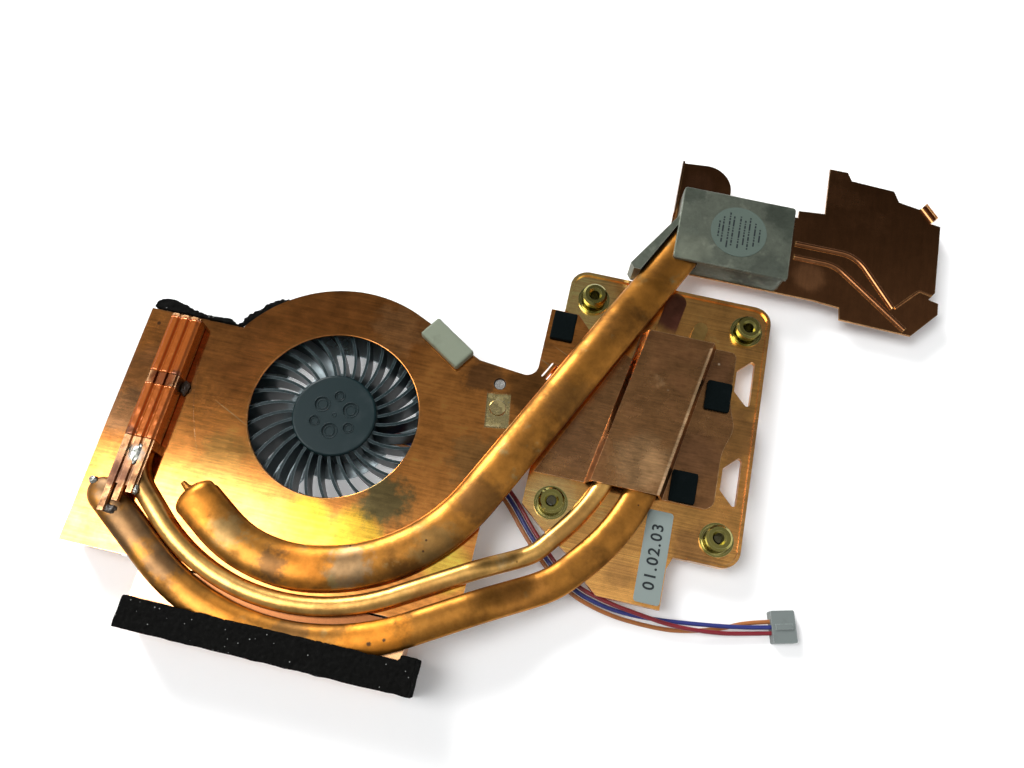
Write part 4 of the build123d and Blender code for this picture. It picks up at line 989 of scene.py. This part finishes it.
def softened(piece: bpy.types.Object, voxel: float, press: Press) -> bpy.types.Object:
    """Join a piece into one fine skin, then push its points in or out.

    Args:
        piece: The piece to soften.
        voxel: Size of the mesh.
        press: Gives how far a point moves, in millimetres.

    Returns:
        The same piece.
    """
    remesh = piece.modifiers.new("Remesh", "REMESH")
    remesh.mode = "VOXEL"
    remesh.voxel_size = voxel * MM
    remesh.use_smooth_shade = True
    baked(piece)
    points = [(point, point.co / MM, point.normal.copy()) for point in piece.data.vertices]
    for point, place, normal in points:
        point.co += normal * press(place, normal) * MM
    return piece


def soft_copy(nodes: Sequence[str], name: str, voxel: float, press: Press) -> bpy.types.Object:
    """Make a soft piece from plain solids: remesh them finely, then push the points in or out.

    Args:
        nodes: The solids that the piece stands for.
        name: The new piece's name.
        voxel: Size of the mesh.
        press: Gives how far a point moves, in millimetres.

    Returns:
        The new piece, which replaces the solids.
    """
    shape = bmesh.new()
    for node in nodes:
        shape.from_mesh(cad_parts[node].data)
    piece = softened(mesh_piece(name, shape), voxel, press)
    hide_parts(*nodes)
    return piece


def fan_axis() -> Vector:
    """Middle of the fan's shaft."""
    low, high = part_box("fan_shaft")
    return (low + high) / 2


def cover_level() -> float:
    """Height of the cover's top face, in metres."""
    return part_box("fan_base")[1].z + COVER_SHEET * MM


def add_ring(shape: bmesh.types.BMesh, centre: Vector, radius: float, roll: float, steps: int = 48,
             sides: int = 10) -> None:
    """Add a rolled ring to a mesh, flat on its side.

    Args:
        shape: The mesh that gets the ring.
        centre: Middle of the ring, in metres.
        radius: Radius of the ring.
        roll: Radius of its section.
        steps: Points round the ring.
        sides: Points round its section.
    """
    rings = []
    for step in range(steps):
        turn = Matrix.Rotation(math.tau * step / steps, 3, "Z")
        ring = []
        for side in range(sides):
            angle = math.tau * side / sides
            spot = Vector((radius + roll * math.cos(angle), 0.0, roll * math.sin(angle))) * MM
            ring.append(shape.verts.new(centre + turn @ spot))
        rings.append(ring)
    for ring, following in zip(rings, rings[1:] + rings[:1]):
        for side in range(sides):
            beside = (side + 1) % sides
            shape.faces.new((ring[side], following[side], following[beside], ring[beside]))


@dataclass(frozen=True)
class PhotoCamera:
    """The camera at the photograph's place.

    Attributes:
        place: Where it stands.
        right: The picture's right in the part's frame.
        up: The picture's up.
        back: From the object towards the camera.
        lens: Focal length.
        sensor: Width of the picture that the focal length is for.
    """

    place: Point = (-23.7, -72.8, 208.14)
    right: Point = (0.9753, 0.2200, 0.0215)
    up: Point = (-0.2140, 0.9148, 0.3425)
    back: Point = (0.0557, -0.3387, 0.9393)
    lens: float = 30.07
    sensor: float = 36.0

    def build(self) -> None:
        """Create the camera and make it the scene's own."""
        data = bpy.data.cameras.new("PhotoCamera")
        data.lens = self.lens
        data.sensor_width = self.sensor
        data.clip_start = MM
        camera = link(bpy.data.objects.new("PhotoCamera", data))
        turn = Matrix((self.right, self.up, self.back)).transposed()
        camera.matrix_world = Matrix.Translation(Vector(self.place) * MM) @ turn.to_4x4()
        bpy.context.scene.camera = camera


@dataclass(frozen=True)
class Studio:
    """Pale floor, a soft sky that is bright overhead and dim behind, and one key lamp from the upper left.

    Attributes:
        floor_half: Half the floor's side.
        floor_colour: Colour of the floor.
        floor_rough: Roughness of the floor.
        floor_lift: What the floor adds to white for the camera and in reflections.
        inlet_glow: Painted light that it adds more in a disc under the fan, where it shows through the fan's
            inlets.
        inlet_radius: How far that reaches from the fan's axis.
        inlet_edge: Width over which it ends.
        sky_levels: Light of the sky by direction, from the front at -1 to the back at 1.
        horizon: Heights of a direction between which the rim gives way to the sky.
        rim_level: Pale light near the horizon.
        panel_level: Light of the soft panel overhead.
        panel_sides: Where the panel starts and is full, and where it fades and ends, as X over Z.
        panel_depth: The same as Y over Z.
        panel_low: Lowest Z that the panel's place is worked out with.
        key_from: Direction of the key lamp.
        key_far: Its distance.
        key_size: Its side.
        key_power: Its power in watts.
        WHITE: Plain white.
    """

    floor_half: float = 4000.0
    floor_colour: Colour = (0.96, 0.965, 0.97)
    floor_rough: float = 0.9
    floor_lift: float = 0.08
    inlet_glow: float = 0.24
    inlet_radius: float = 22.0
    inlet_edge: float = 1.0
    sky_levels: tuple[tuple[float, float], ...] = (
        (-1.0, 0.25), (-0.35, 0.35), (-0.12, 0.90), (0.08, 1.0), (0.16, 0.48), (0.24, 0.24), (0.46, 0.19),
        (0.53, 0.05), (1.0, 0.04))
    horizon: tuple[float, float] = (0.25, 0.60)
    rim_level: float = 0.42
    panel_level: float = 8.0
    panel_sides: tuple[float, float, float, float] = (-1.0, -0.75, -0.42, -0.14)
    panel_depth: tuple[float, float, float, float] = (-0.5, -0.3, 0.12, 0.19)
    panel_low: float = 0.05
    key_from: Point = (-0.62, 0.56, 0.58)
    key_far: float = 1000.0
    key_size: float = 340.0
    key_power: float = 8.5
    WHITE = (1.0, 1.0, 1.0)

    def build(self) -> None:
        """Make the floor, the sky, the lamp and the plain view settings."""
        bpy.context.scene.view_settings.view_transform = "Standard"
        self.floor()
        self.sky()
        self.key()

    def floor(self) -> None:
        """Lay the floor under the part, white where no shadow falls, with painted light in a disc under the fan."""
        shape = bmesh.new()
        bmesh.ops.create_grid(shape, x_segments=1, y_segments=1, size=self.floor_half * MM)
        floor = mesh_piece("Floor", shape, False)
        material = bpy.data.materials.new("Floor")
        material.use_nodes = True
        graph = Graph(material.node_tree)
        shader = material.node_tree.nodes["Principled BSDF"]
        graph.feed(shader.inputs["Base Color"], self.floor_colour)
        graph.feed(shader.inputs["Roughness"], self.floor_rough)
        graph.feed(shader.inputs["Emission Color"], self.WHITE)
        graph.feed(shader.inputs["Emission Strength"], self.lift(graph))
        floor.data.materials.append(material)

    def lift(self, graph: Graph) -> bpy.types.NodeSocket:
        """What the floor adds to white, for the camera and in reflections only, and painted light in a disc under
        the fan.

        Args:
            graph: The floor's tree.

        Returns:
            The strength.
        """
        path = graph.add("ShaderNodeLightPath").outputs
        seen = graph.maths("ADD", path["Is Camera Ray"], path["Is Glossy Ray"])
        seen = graph.maths("MINIMUM", graph.maths("ADD", seen, path["Is Transmission Ray"]), 1.0)
        middle = fan_axis()
        away = graph.vector("DISTANCE", graph.coords(), (middle.x, middle.y, 0.0))
        # Painted light: a brighter disc of floor under the fan, seen through its inlets.
        inlets = graph.span(away, self.inlet_radius * MM, (self.inlet_radius - self.inlet_edge) * MM)
        lift = graph.maths("ADD", graph.maths("MULTIPLY", inlets, self.inlet_glow), self.floor_lift)
        return graph.maths("MULTIPLY", seen, lift)

    def sky(self) -> None:
        """Fill the world with the soft light."""
        world = bpy.data.worlds.new("Sky")
        bpy.context.scene.world = world
        world.use_nodes = True
        graph = Graph(world.node_tree)
        toward = graph.add("ShaderNodeSeparateXYZ")
        graph.feed(toward.inputs[0], graph.add("ShaderNodeTexCoord").outputs["Generated"])
        x, y, z = toward.outputs
        steep = graph.maths("MAXIMUM", z, self.panel_low)
        sides = self.window(graph, graph.maths("DIVIDE", x, steep), self.panel_sides)
        depth = self.window(graph, graph.maths("DIVIDE", y, steep), self.panel_depth)
        panel = graph.maths("MULTIPLY", graph.maths("MULTIPLY", sides, depth), self.panel_level)
        high = graph.span(z, *self.horizon)
        top = graph.maths("MULTIPLY", graph.maths("ADD", self.overhead(graph, y), panel), high)
        rim = graph.maths("MULTIPLY", graph.maths("SUBTRACT", 1.0, high), self.rim_level)
        background = world.node_tree.nodes["Background"]
        graph.feed(background.inputs["Color"], self.WHITE)
        graph.feed(background.inputs["Strength"], graph.maths("ADD", top, rim))

    def window(self, graph: Graph, value: Feed, edges: Sequence[float]) -> bpy.types.NodeSocket:
        """Soft-edged window.

        Args:
            graph: The world's tree.
            value: Place across the window.
            edges: Where it starts and is full, and where it fades and ends.

        Returns:
            The window, 0 outside the outer edges and 1 between the inner ones.
        """
        start, full, fade, end = edges
        return graph.maths("MULTIPLY", graph.span(value, start, full), graph.span(value, end, fade))

    def overhead(self, graph: Graph, back: Feed) -> bpy.types.NodeSocket:
        """Level of the sky from its direction towards the back.

        Args:
            graph: The world's tree.
            back: Y of the direction, from -1 to 1.

        Returns:
            The level.
        """
        ramp = graph.add("ShaderNodeValToRGB")
        stops = ramp.color_ramp.elements
        ready = len(stops)
        for index, (place, level) in enumerate(self.sky_levels):
            stop = stops[index] if index < ready else stops.new(1.0)
            stop.position = (place + 1.0) / 2
            stop.color = (level, level, level, 1.0)
        graph.feed(ramp.inputs[0], graph.span(back, -1.0, 1.0, kind="LINEAR"))
        return ramp.outputs[0]

    def key(self) -> None:
        """Hang the key lamp, which gives the soft shadows."""
        data = bpy.data.lights.new("Key", "AREA")
        data.shape = "SQUARE"
        data.size = self.key_size * MM
        data.energy = self.key_power
        lamp = link(bpy.data.objects.new("Key", data))
        place = Vector(self.key_from).normalized() * self.key_far * MM
        lamp.matrix_world = Matrix.Translation(place) @ place.to_track_quat("Z", "Y").to_matrix().to_4x4()


@dataclass(frozen=True)
class FanLead:
    """Three thin wires from the fan's motor to a small white plug.

    Attributes:
        diameter: Outside of each wire.
        round_steps: How finely its section is rounded.
        ROUTES: Control points of each wire, from the motor to the plug.
        LENGTHS: Real length of each wire.
    """

    diameter: float = 1.0
    round_steps: int = 5
    ROUTES = {
        "wire_red": ((-64.51, -17.6, 1.35), (-53.3, -18.41, 1.35), (-42.72, -21.23, 1.35), (-33.46, -23.29, 2.2),
                     (-28.35, -27.55, 3.0), (-21.74, -35.36, 3.2), (-11.6, -44.51, 3.2), (-2.0, -47.0, 3.4),
                     (6.0, -48.0, 3.4), (14.0, -48.8, 2.9), (24.0, -48.0, 1.9), (31.28, -46.42, 1.5),
                     (37.59, -44.84, 1.5)),
        "wire_blue": ((-64.6, -18.8, 1.35), (-53.5, -19.6, 1.35), (-43.0, -22.4, 1.35), (-34.0, -24.4, 2.2),
                      (-29.2, -28.4, 3.0), (-22.6, -36.2, 3.2), (-12.4, -45.4, 3.2), (-2.0, -48.3, 2.4),
                      (8.0, -48.3, 1.9), (20.0, -46.9, 2.1), (30.97, -45.15, 1.9), (37.27, -43.58, 1.9)),
        "wire_orange": ((-64.69, -20.0, 1.35), (-53.7, -20.79, 1.35), (-43.28, -23.57, 1.35), (-34.54, -25.51, 2.2),
                        (-30.05, -29.25, 3.0), (-23.46, -37.04, 3.2), (-13.2, -46.29, 3.2), (-2.4, -49.5, 2.2),
                        (8.0, -49.9, 0.7), (16.0, -49.4, 0.6), (25.6, -46.5, 0.6), (30.65, -43.89, 1.2),
                        (36.96, -42.32, 1.2)),
    }
    LENGTHS = {"wire_red": 112.0, "wire_blue": 111.6, "wire_orange": 112.3}

    def build(self, wardrobe: Wardrobe) -> None:
        """Lay the wires as smooth cords.

        Args:
            wardrobe: Where finishes come from.
        """
        for node, route in self.ROUTES.items():
            wire = self.wire(node, route)
            wardrobe.dress(wire, node)
            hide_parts(node)

    def wire(self, node: str, route: Sequence[Point]) -> bpy.types.Object:
        """Draw one wire through its control points.

        Args:
            node: The solid that it stands for.
            route: Its control points.

        Returns:
            The wire as a curve.
        """
        name = f"{node}_lead"
        curve = smooth_curve(name, route, self.diameter / 2)
        curve.bevel_resolution = self.round_steps
        curve.use_fill_caps = True
        return link(bpy.data.objects.new(name, curve))


@dataclass(frozen=True)
class FoamWork:
    """Open-cell foam over the rear fins and along the cover's back edge.

    Attributes:
        voxel: Mesh size of the foam.
        pore: Spacing of its pores.
        pore_reach: Radius of a pore as a share of the spacing.
        pore_depth: Depth of a pore.
        sway: Slow unevenness of its faces.
        sway_scale: Waves of it to a millimetre.
        crumbs: Height of the lumps on crumbled foam.
        crumb_scale: Lumps to a millimetre.
        crumb_pores: Share of the pores' depth that crumbled foam keeps.
        crumb_sink: How far crumbled foam has shrunk.
        fill: How tight it is; not used.
        TORN: X, Y, Z and radius of each lump of the torn strip.
    """

    voxel: float = 0.32
    pore: float = 0.9
    pore_reach: float = 0.5
    pore_depth: float = 0.42
    sway: float = 0.2
    sway_scale: float = 0.35
    crumbs: float = 0.35
    crumb_scale: float = 0.45
    crumb_pores: float = 0.8
    crumb_sink: float = 0.1
    fill: float = 0.7
    TORN = ((-105.4, -1.2, 9.0, 1.0), (-104.4, 0.0, 9.0, 1.2), (-103.4, 1.2, 8.9, 1.3), (-102.3, 2.5, 9.0, 1.3),
            (-101.2, 3.7, 9.1, 1.05), (-100.3, 4.6, 9.0, 1.2), (-99.3, 5.5, 8.9, 1.3), (-98.3, 6.4, 9.0, 1.25),
            (-97.2, 7.2, 9.1, 1.0), (-96.0, 7.9, 9.2, 0.7))

    def build(self, wardrobe: Wardrobe) -> None:
        """Make the three foam pieces.

        Args:
            wardrobe: Where finishes come from.
        """
        strip = soft_copy(("foam_strip", "foam_return"), "foam_strip_cells", self.voxel, self.press)
        corner = soft_copy(("corner_foam",), "corner_foam_cells", self.voxel, self.crumple)
        wardrobe.dress(strip, "foam")
        wardrobe.dress(corner, "foam")
        wardrobe.dress(self.torn_edge(), "foam")

    def torn_edge(self) -> bpy.types.Object:
        """Line the cover's back edge with a strip torn off the corner foam.

        Returns:
            The strip.
        """
        shape = bmesh.new()
        for x, y, z, radius in self.TORN:
            place = Matrix.Translation(Vector((x, y, z)) * MM)
            bmesh.ops.create_icosphere(shape, subdivisions=3, radius=radius * MM, matrix=place)
        return softened(mesh_piece("torn_foam", shape), self.voxel / 2, self.crumple)

    def press(self, place: Vector, normal: Vector) -> float:
        """How far a point of the foam's skin goes in or out.

        Args:
            place: The point, in millimetres.
            normal: Its normal, which the pores don't depend on.

        Returns:
            The way along the normal, in millimetres.
        """
        near = noise.voronoi(place / self.pore, distance_metric="DISTANCE")[0][0]
        dent = max(0.0, self.pore_reach - near) / self.pore_reach
        return self.sway * noise.noise(place * self.sway_scale) - self.pore_depth * dent

    def crumple(self, place: Vector, normal: Vector) -> float:
        """The same for crumbled foam, with coarse lumps over the pores.

        Args:
            place: The point, in millimetres.
            normal: Its normal.

        Returns:
            The way along the normal, in millimetres.
        """
        lumps = self.crumbs * rumple(place * self.crumb_scale)
        return self.press(place, normal) * self.crumb_pores + lumps - self.crumb_sink


@dataclass(frozen=True)
class PadWork:
    """Soft pads: a thick pale gasket and three thin black ones.

    Attributes:
        gasket_voxel: Mesh size of the gasket.
        pad_voxel: Mesh size of a pad.
        crown: How far a pad's top stands out.
        upright: Z of a normal from which a face counts as the top.
        skin: Unevenness of a pad's skin.
        skin_scale: Lumps of it to a millimetre.
        fill: How tight a pad is; not used.
    """

    gasket_voxel: float = 0.28
    pad_voxel: float = 0.2
    crown: float = 0.06
    upright: float = 0.7
    skin: float = 0.05
    skin_scale: float = 0.7
    fill: float = 0.8

    def build(self, wardrobe: Wardrobe) -> None:
        """Make the pads.

        Args:
            wardrobe: Where finishes come from.
        """
        gasket = soft_copy(("gasket",), "gasket_foam", self.gasket_voxel, self.press)
        wardrobe.dress(gasket, "gasket_rubber")
        for node in ("pad_neck", "pad_right", "pad_low"):
            pad = soft_copy((node,), f"{node}_rubber", self.pad_voxel, self.press)
            wardrobe.dress(pad, "pad_rubber")

    def press(self, place: Vector, normal: Vector) -> float:
        """How far a point of a pad's skin goes in or out.

        Args:
            place: The point, in millimetres.
            normal: Its normal.

        Returns:
            The way along the normal, in millimetres.
        """
        lift = self.crown if normal.z > self.upright else 0.0
        return lift + self.skin * rumple(place * self.skin_scale)


@dataclass(frozen=True)
class TapedStrip:
    """Orange film wound over the ribbed strip.

    Attributes:
        ridges: Count of ridges under the film.
        ridge_pitch: Distance between ridges.
        ridge_half: Half width of a ridge at its foot.
        ridge_round: Width over which a ridge rises.
        ridge_high: How far a ridge stands up.
        film: Thickness of the film.
        wrinkle: Unevenness of the film.
        wrinkle_scale: Wrinkles to a millimetre.
        fray: How far the film's ends are frayed.
        fray_scale: Frays to a millimetre.
        across: Steps of the mesh across the top.
        upward: Steps of the mesh up each wall.
        along: Steps of the mesh along the strip.
    """

    ridges: int = 3
    ridge_pitch: float = 2.4
    ridge_half: float = 1.05
    ridge_round: float = 0.5
    ridge_high: float = 0.6
    film: float = 0.05
    wrinkle: float = 0.05
    wrinkle_scale: float = 0.7
    fray: float = 0.22
    fray_scale: float = 0.9
    across: int = 72
    upward: int = 8
    along: int = 30

    def build(self, wardrobe: Wardrobe) -> None:
        """Wind both films.

        Args:
            wardrobe: Where finishes come from.
        """
        for node in ("tape_upper", "tape_lower"):
            film = self.wrap(node)
            wardrobe.dress(film, "tape_film")
            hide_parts(node)

    def profile(self, low: Vector, high: Vector) -> list[tuple[float, float]]:
        """Outline of the film across the strip.

        Args:
            low: Lowest corner of the film's solid, in millimetres.
            high: Its highest corner.

        Returns:
            Points across the strip, as X and Z.
        """
        roof = high.z - self.ridge_high
        middle = (low.x + high.x) / 2
        half = (high.x - low.x) / 2
        last = (self.ridges - 1) / 2
        levels = [low.z + (roof - low.z) * step / self.upward for step in range(self.upward)]
        top = []
        for step in range(self.across + 1):
            x = -half + 2 * half * step / self.across
            nearest = round(max(-last, min(last, x / self.ridge_pitch))) * self.ridge_pitch
            rise = max(0.0, min(1.0, (self.ridge_half - abs(x - nearest)) / self.ridge_round))
            top.append((middle + x, roof + self.ridge_high * rise * rise * (3 - 2 * rise)))
        return [(low.x, z) for z in levels] + top + [(high.x, z) for z in reversed(levels)]

    def wrap(self, node: str) -> bpy.types.Object:
        """One wrap of film over the strip.

        Args:
            node: The solid that it stands for.

        Returns:
            The film.
        """
        low, high = (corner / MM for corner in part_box(node))
        outline = self.profile(low, high)
        shape = bmesh.new()
        rows = []
        for step in range(self.along + 1):
            y = low.y + (high.y - low.y) * (step / self.along)
            fray = self.fray if step in (0, self.along) else 0.0
            row = []
            for x, z in outline:
                frayed = fray * noise.noise(Vector((x * self.fray_scale, low.y, z)))
                lift = self.wrinkle * abs(noise.noise(Vector((x, y, z)) * self.wrinkle_scale))
                row.append(shape.verts.new(Vector((x, y + frayed, z + lift)) * MM))
            rows.append(row)
        for first, second in zip(rows, rows[1:]):
            for index in range(len(outline) - 1):
                shape.faces.new((first[index], first[index + 1], second[index + 1], second[index]))
        bmesh.ops.recalc_face_normals(shape, faces=shape.faces)
        film = mesh_piece(f"{node}_film", shape)
        thick = film.modifiers.new("Solidify", "SOLIDIFY")
        thick.thickness = self.film * MM
        thick.offset = -1.0
        return baked(film)


@dataclass(frozen=True)
class CoverEdges:
    """Bright rolled rim round the fan's mouth, and a crease pressed in the cover.

    Attributes:
        mouth_radius: Radius of the fan's mouth.
        rim_radius: Radius of the rim's section.
        rim_steps: Points round the rim.
        crease_high: How far the crease stands up.
        crease: Points along the crease.
    """

    mouth_radius: float = 20.8
    rim_radius: float = 0.24
    rim_steps: int = 180
    crease_high: float = 0.05
    crease: tuple[tuple[float, float], ...] = ((-112.2, -13.6), (-110.6, -20.0), (-108.4, -27.0), (-104.8, -34.6))

    def build(self, wardrobe: Wardrobe) -> None:
        """Make the rim and the crease.

        Args:
            wardrobe: Where finishes come from.
        """
        wardrobe.dress(self.rim(), "cover_copper")
        wardrobe.dress(self.crease_line(), "cover_copper")

    def rim(self) -> bpy.types.Object:
        """Roll a thin ring round the fan's mouth.

        Returns:
            The rim.
        """
        centre = fan_axis()
        centre.z = cover_level() - self.rim_radius * MM
        shape = bmesh.new()
        add_ring(shape, centre, self.mouth_radius, self.rim_radius, self.rim_steps)
        bmesh.ops.recalc_face_normals(shape, faces=shape.faces)
        return mesh_piece("intake_rim", shape)

    def crease_line(self) -> bpy.types.Object:
        """Press a shallow line in the cover.

        Returns:
            The line.
        """
        level = cover_level() / MM
        curve = smooth_curve("cover_crease", [(x, y, level) for x, y in self.crease], self.crease_high)
        drawn = link(bpy.data.objects.new("cover_crease_line", curve))
        mesh = drawn_mesh(drawn)
        bpy.data.objects.remove(drawn)
        return link(bpy.data.objects.new("cover_crease", mesh))


@dataclass(frozen=True)
class HubMarks:
    """Moulded rings in the dimples of the fan's hub, which turn with it.

    Attributes:
        roll: Radius of a ring's section.
        inner: Size of the inner ring as a share of the outer one.
        pip: Radius of the ring in the middle of the hub.
        RINGS: Distance from the axis, angle in degrees and radius of each dimple.
    """

    roll: float = 0.13
    inner: float = 0.62
    pip: float = 0.45
    RINGS = ((4.1, 30.0, 1.9), (4.1, 150.0, 1.9), (4.1, 270.0, 1.9),
             (4.9, 90.0, 1.3), (4.9, 210.0, 1.3), (4.9, 330.0, 1.3))

    def build(self, wardrobe: Wardrobe) -> None:
        """Make the rings as one piece.

        Args:
            wardrobe: Where finishes come from.
        """
        middle = fan_axis()
        middle.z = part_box("impeller")[1].z
        shape = bmesh.new()
        add_ring(shape, middle, self.pip, self.roll)
        for reach, angle, radius in self.RINGS:
            turn = Matrix.Rotation(math.radians(angle), 3, "Z")
            centre = middle + turn @ Vector((reach * MM, 0.0, 0.0))
            add_ring(shape, centre, radius, self.roll)
            add_ring(shape, centre - Vector((0.0, 0.0, 2 * self.roll * MM)), radius * self.inner, self.roll)
        bmesh.ops.recalc_face_normals(shape, faces=shape.faces)
        wardrobe.dress(mesh_piece("hub_rings", shape), "impeller_plastic", Body.ROTOR)


@dataclass(frozen=True)
class SolderWork:
    """Frozen drops of solder and flux left where the pieces were joined.

    Attributes:
        foot: Where a drop of radius 1 is cut flat below.
        lump_scale: Lumps on a drop of radius 1.
        SOLDER_DROPS: Middle, half sizes, unevenness and start of the noise of each drop of solder.
        FLUX_DROPS: The same for flux.
    """

    foot: float = -0.35
    lump_scale: float = 1.4
    SOLDER_DROPS = {
        "solder_outer_tip": ((-124.2, -47.4, 12.6), (1.15, 1.05, 1.1), 0.18, 3.1),
        "solder_strip_end": ((-116.6, -39.4, 14.55), (1.5, 2.4, 0.5), 0.3, 7.7),
        "solder_strip_low": ((-113.6, -47.6, 14.0), (0.7, 1.2, 0.6), 0.3, 1.9),
    }
    FLUX_DROPS = {
        "flux_tape_gap": ((-112.5, -20.8, 11.0), (0.9, 1.7, 0.8), 0.4, 5.3),
        "flux_strip_foot": ((-117.8, -53.0, 13.9), (1.6, 1.0, 0.5), 0.4, 9.4),
    }

    def build(self, wardrobe: Wardrobe) -> None:
        """Place the drops.

        Args:
            wardrobe: Where finishes come from.
        """
        for drops, material in ((self.SOLDER_DROPS, wardrobe.solder), (self.FLUX_DROPS, wardrobe.flux)):
            for name, (centre, radii, rough, seed) in drops.items():
                wardrobe.dress_extra(self.drop(name, centre, radii, rough, seed), material)

    def drop(self, name: str, centre: Point, radii: Point, rough: float, seed: float) -> bpy.types.Object:
        """A small frozen blob with an uneven skin and a flattened foot.

        Args:
            name: The piece's name.
            centre: Its middle.
            radii: Half sizes along X, Y and Z.
            rough: Unevenness as a share of its size.
            seed: Where its noise starts.

        Returns:
            The new piece.
        """
        shape = bmesh.new()
        bmesh.ops.create_icosphere(shape, subdivisions=4, radius=1.0)
        for point in shape.verts:
            swell = 1.0 + rough * rumple(point.co * self.lump_scale + Vector((seed, 0.0, 0.0)))
            grown = Vector((point.co.x, point.co.y, max(point.co.z, self.foot))) * swell
            point.co = Vector(grown[axis] * radii[axis] + centre[axis] for axis in range(3)) * MM
        return mesh_piece(name, shape)


@dataclass(frozen=True)
class Printing:
    """Plain print on the two labels: counting digits and rows of dashes.

    Attributes:
        digits: Text on the long label.
        digit_size: Height of the text.
        digit_space: Spacing of the digits, 1 being plain.
        digit_bold: How much its strokes are thickened.
        digit_turn: Direction of the text in degrees.
        ink: Thickness of the print.
        row_wide: Width of a row.
        dash_gap: Gap between dashes.
        dash_skip: How far the pattern of dashes moves on from row to row.
        ROWS: X of each row on the round sticker from its middle, and the row's length.
        DASHES: Lengths of the dashes, in turn.
    """

    digits: str = "01.02.03"
    digit_size: float = 3.8
    digit_space: float = 1.2
    digit_bold: float = 0.07
    digit_turn: float = 90.0
    ink: float = 0.02
    row_wide: float = 0.42
    dash_gap: float = 0.3
    dash_skip: int = 3
    ROWS = ((-5.2, 5.0), (-4.2, 8.0), (-2.7, 10.6), (-1.6, 9.0), (0.1, 9.8), (1.4, 7.4), (2.6, 9.6), (4.1, 7.0),
            (5.4, 4.0))
    DASHES = (0.5, 0.9, 0.35, 1.2, 0.6, 0.4, 2.1, 0.7, 0.45)

    def build(self, wardrobe: Wardrobe) -> None:
        """Print both labels.

        Args:
            wardrobe: Where finishes come from.
        """
        wardrobe.dress_extra(self.number(), wardrobe.ink)
        wardrobe.dress_extra(self.sticker_rows(), wardrobe.ink)

    def number(self) -> bpy.types.Object:
        """Print the digits along the long label.

        Returns:
            The digits.
        """
        low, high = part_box("date_label")
        text = bpy.data.curves.new("label_digits", "FONT")
        text.body = self.digits
        text.size = self.digit_size * MM
        text.align_x = "CENTER"
        text.align_y = "CENTER"
        text.space_character = self.digit_space
        text.offset = self.digit_bold * MM
        text.extrude = self.ink * MM
        drawn = link(bpy.data.objects.new("label_digits", text))
        middle = (low + high) / 2
        turn = Matrix.Rotation(math.radians(self.digit_turn), 4, "Z")
        mesh = drawn_mesh(drawn)
        mesh.transform(Matrix.Translation((middle.x, middle.y, high.z)) @ turn)
        bpy.data.objects.remove(drawn)
        return link(bpy.data.objects.new("label_digits", mesh))

    def sticker_rows(self) -> bpy.types.Object:
        """Print rows of dashes on the round sticker.

        Returns:
            The rows as one piece.
        """
        low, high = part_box("round_sticker")
        middle = (low + high) / 2
        shape = bmesh.new()
        for row, (offset, length) in enumerate(self.ROWS):
            for start, run in self.dashes(row, length):
                size = Matrix.Diagonal((self.row_wide * MM, run * MM, 2 * self.ink * MM, 1.0))
                shift = Vector((offset, start + run / 2, 0.0)) * MM
                place = Matrix.Translation((middle.x + shift.x, middle.y + shift.y, high.z))
                bmesh.ops.create_cube(shape, size=1.0, matrix=place @ size)
        return mesh_piece("sticker_rows", shape, False)

    def dashes(self, row: int, length: float) -> list[tuple[float, float]]:
        """Split a row into short dashes.

        Args:
            row: Number of the row, which shifts the pattern.
            length: Length of the row.

        Returns:
            Start and length of each dash, from the row's middle.
        """
        made = []
        start = -length / 2
        while start < length / 2 - self.dash_gap:
            run = self.DASHES[(row * self.dash_skip + len(made)) % len(self.DASHES)]
            made.append((start, min(run, length / 2 - start)))
            start += run + self.dash_gap
        return made


def main() -> None:
    """Build the camera, the cords, the soft pieces, the small marks, the finishes and the studio, in that order."""
    PhotoCamera().build()
    wardrobe = Wardrobe()
    FanLead().build(wardrobe)
    FoamWork().build(wardrobe)
    PadWork().build(wardrobe)
    TapedStrip().build(wardrobe)
    CoverEdges().build(wardrobe)
    HubMarks().build(wardrobe)
    SolderWork().build(wardrobe)
    Printing().build(wardrobe)
    wardrobe.dress_nodes()
    Studio().build()


if __name__ == "__main__":
    main()
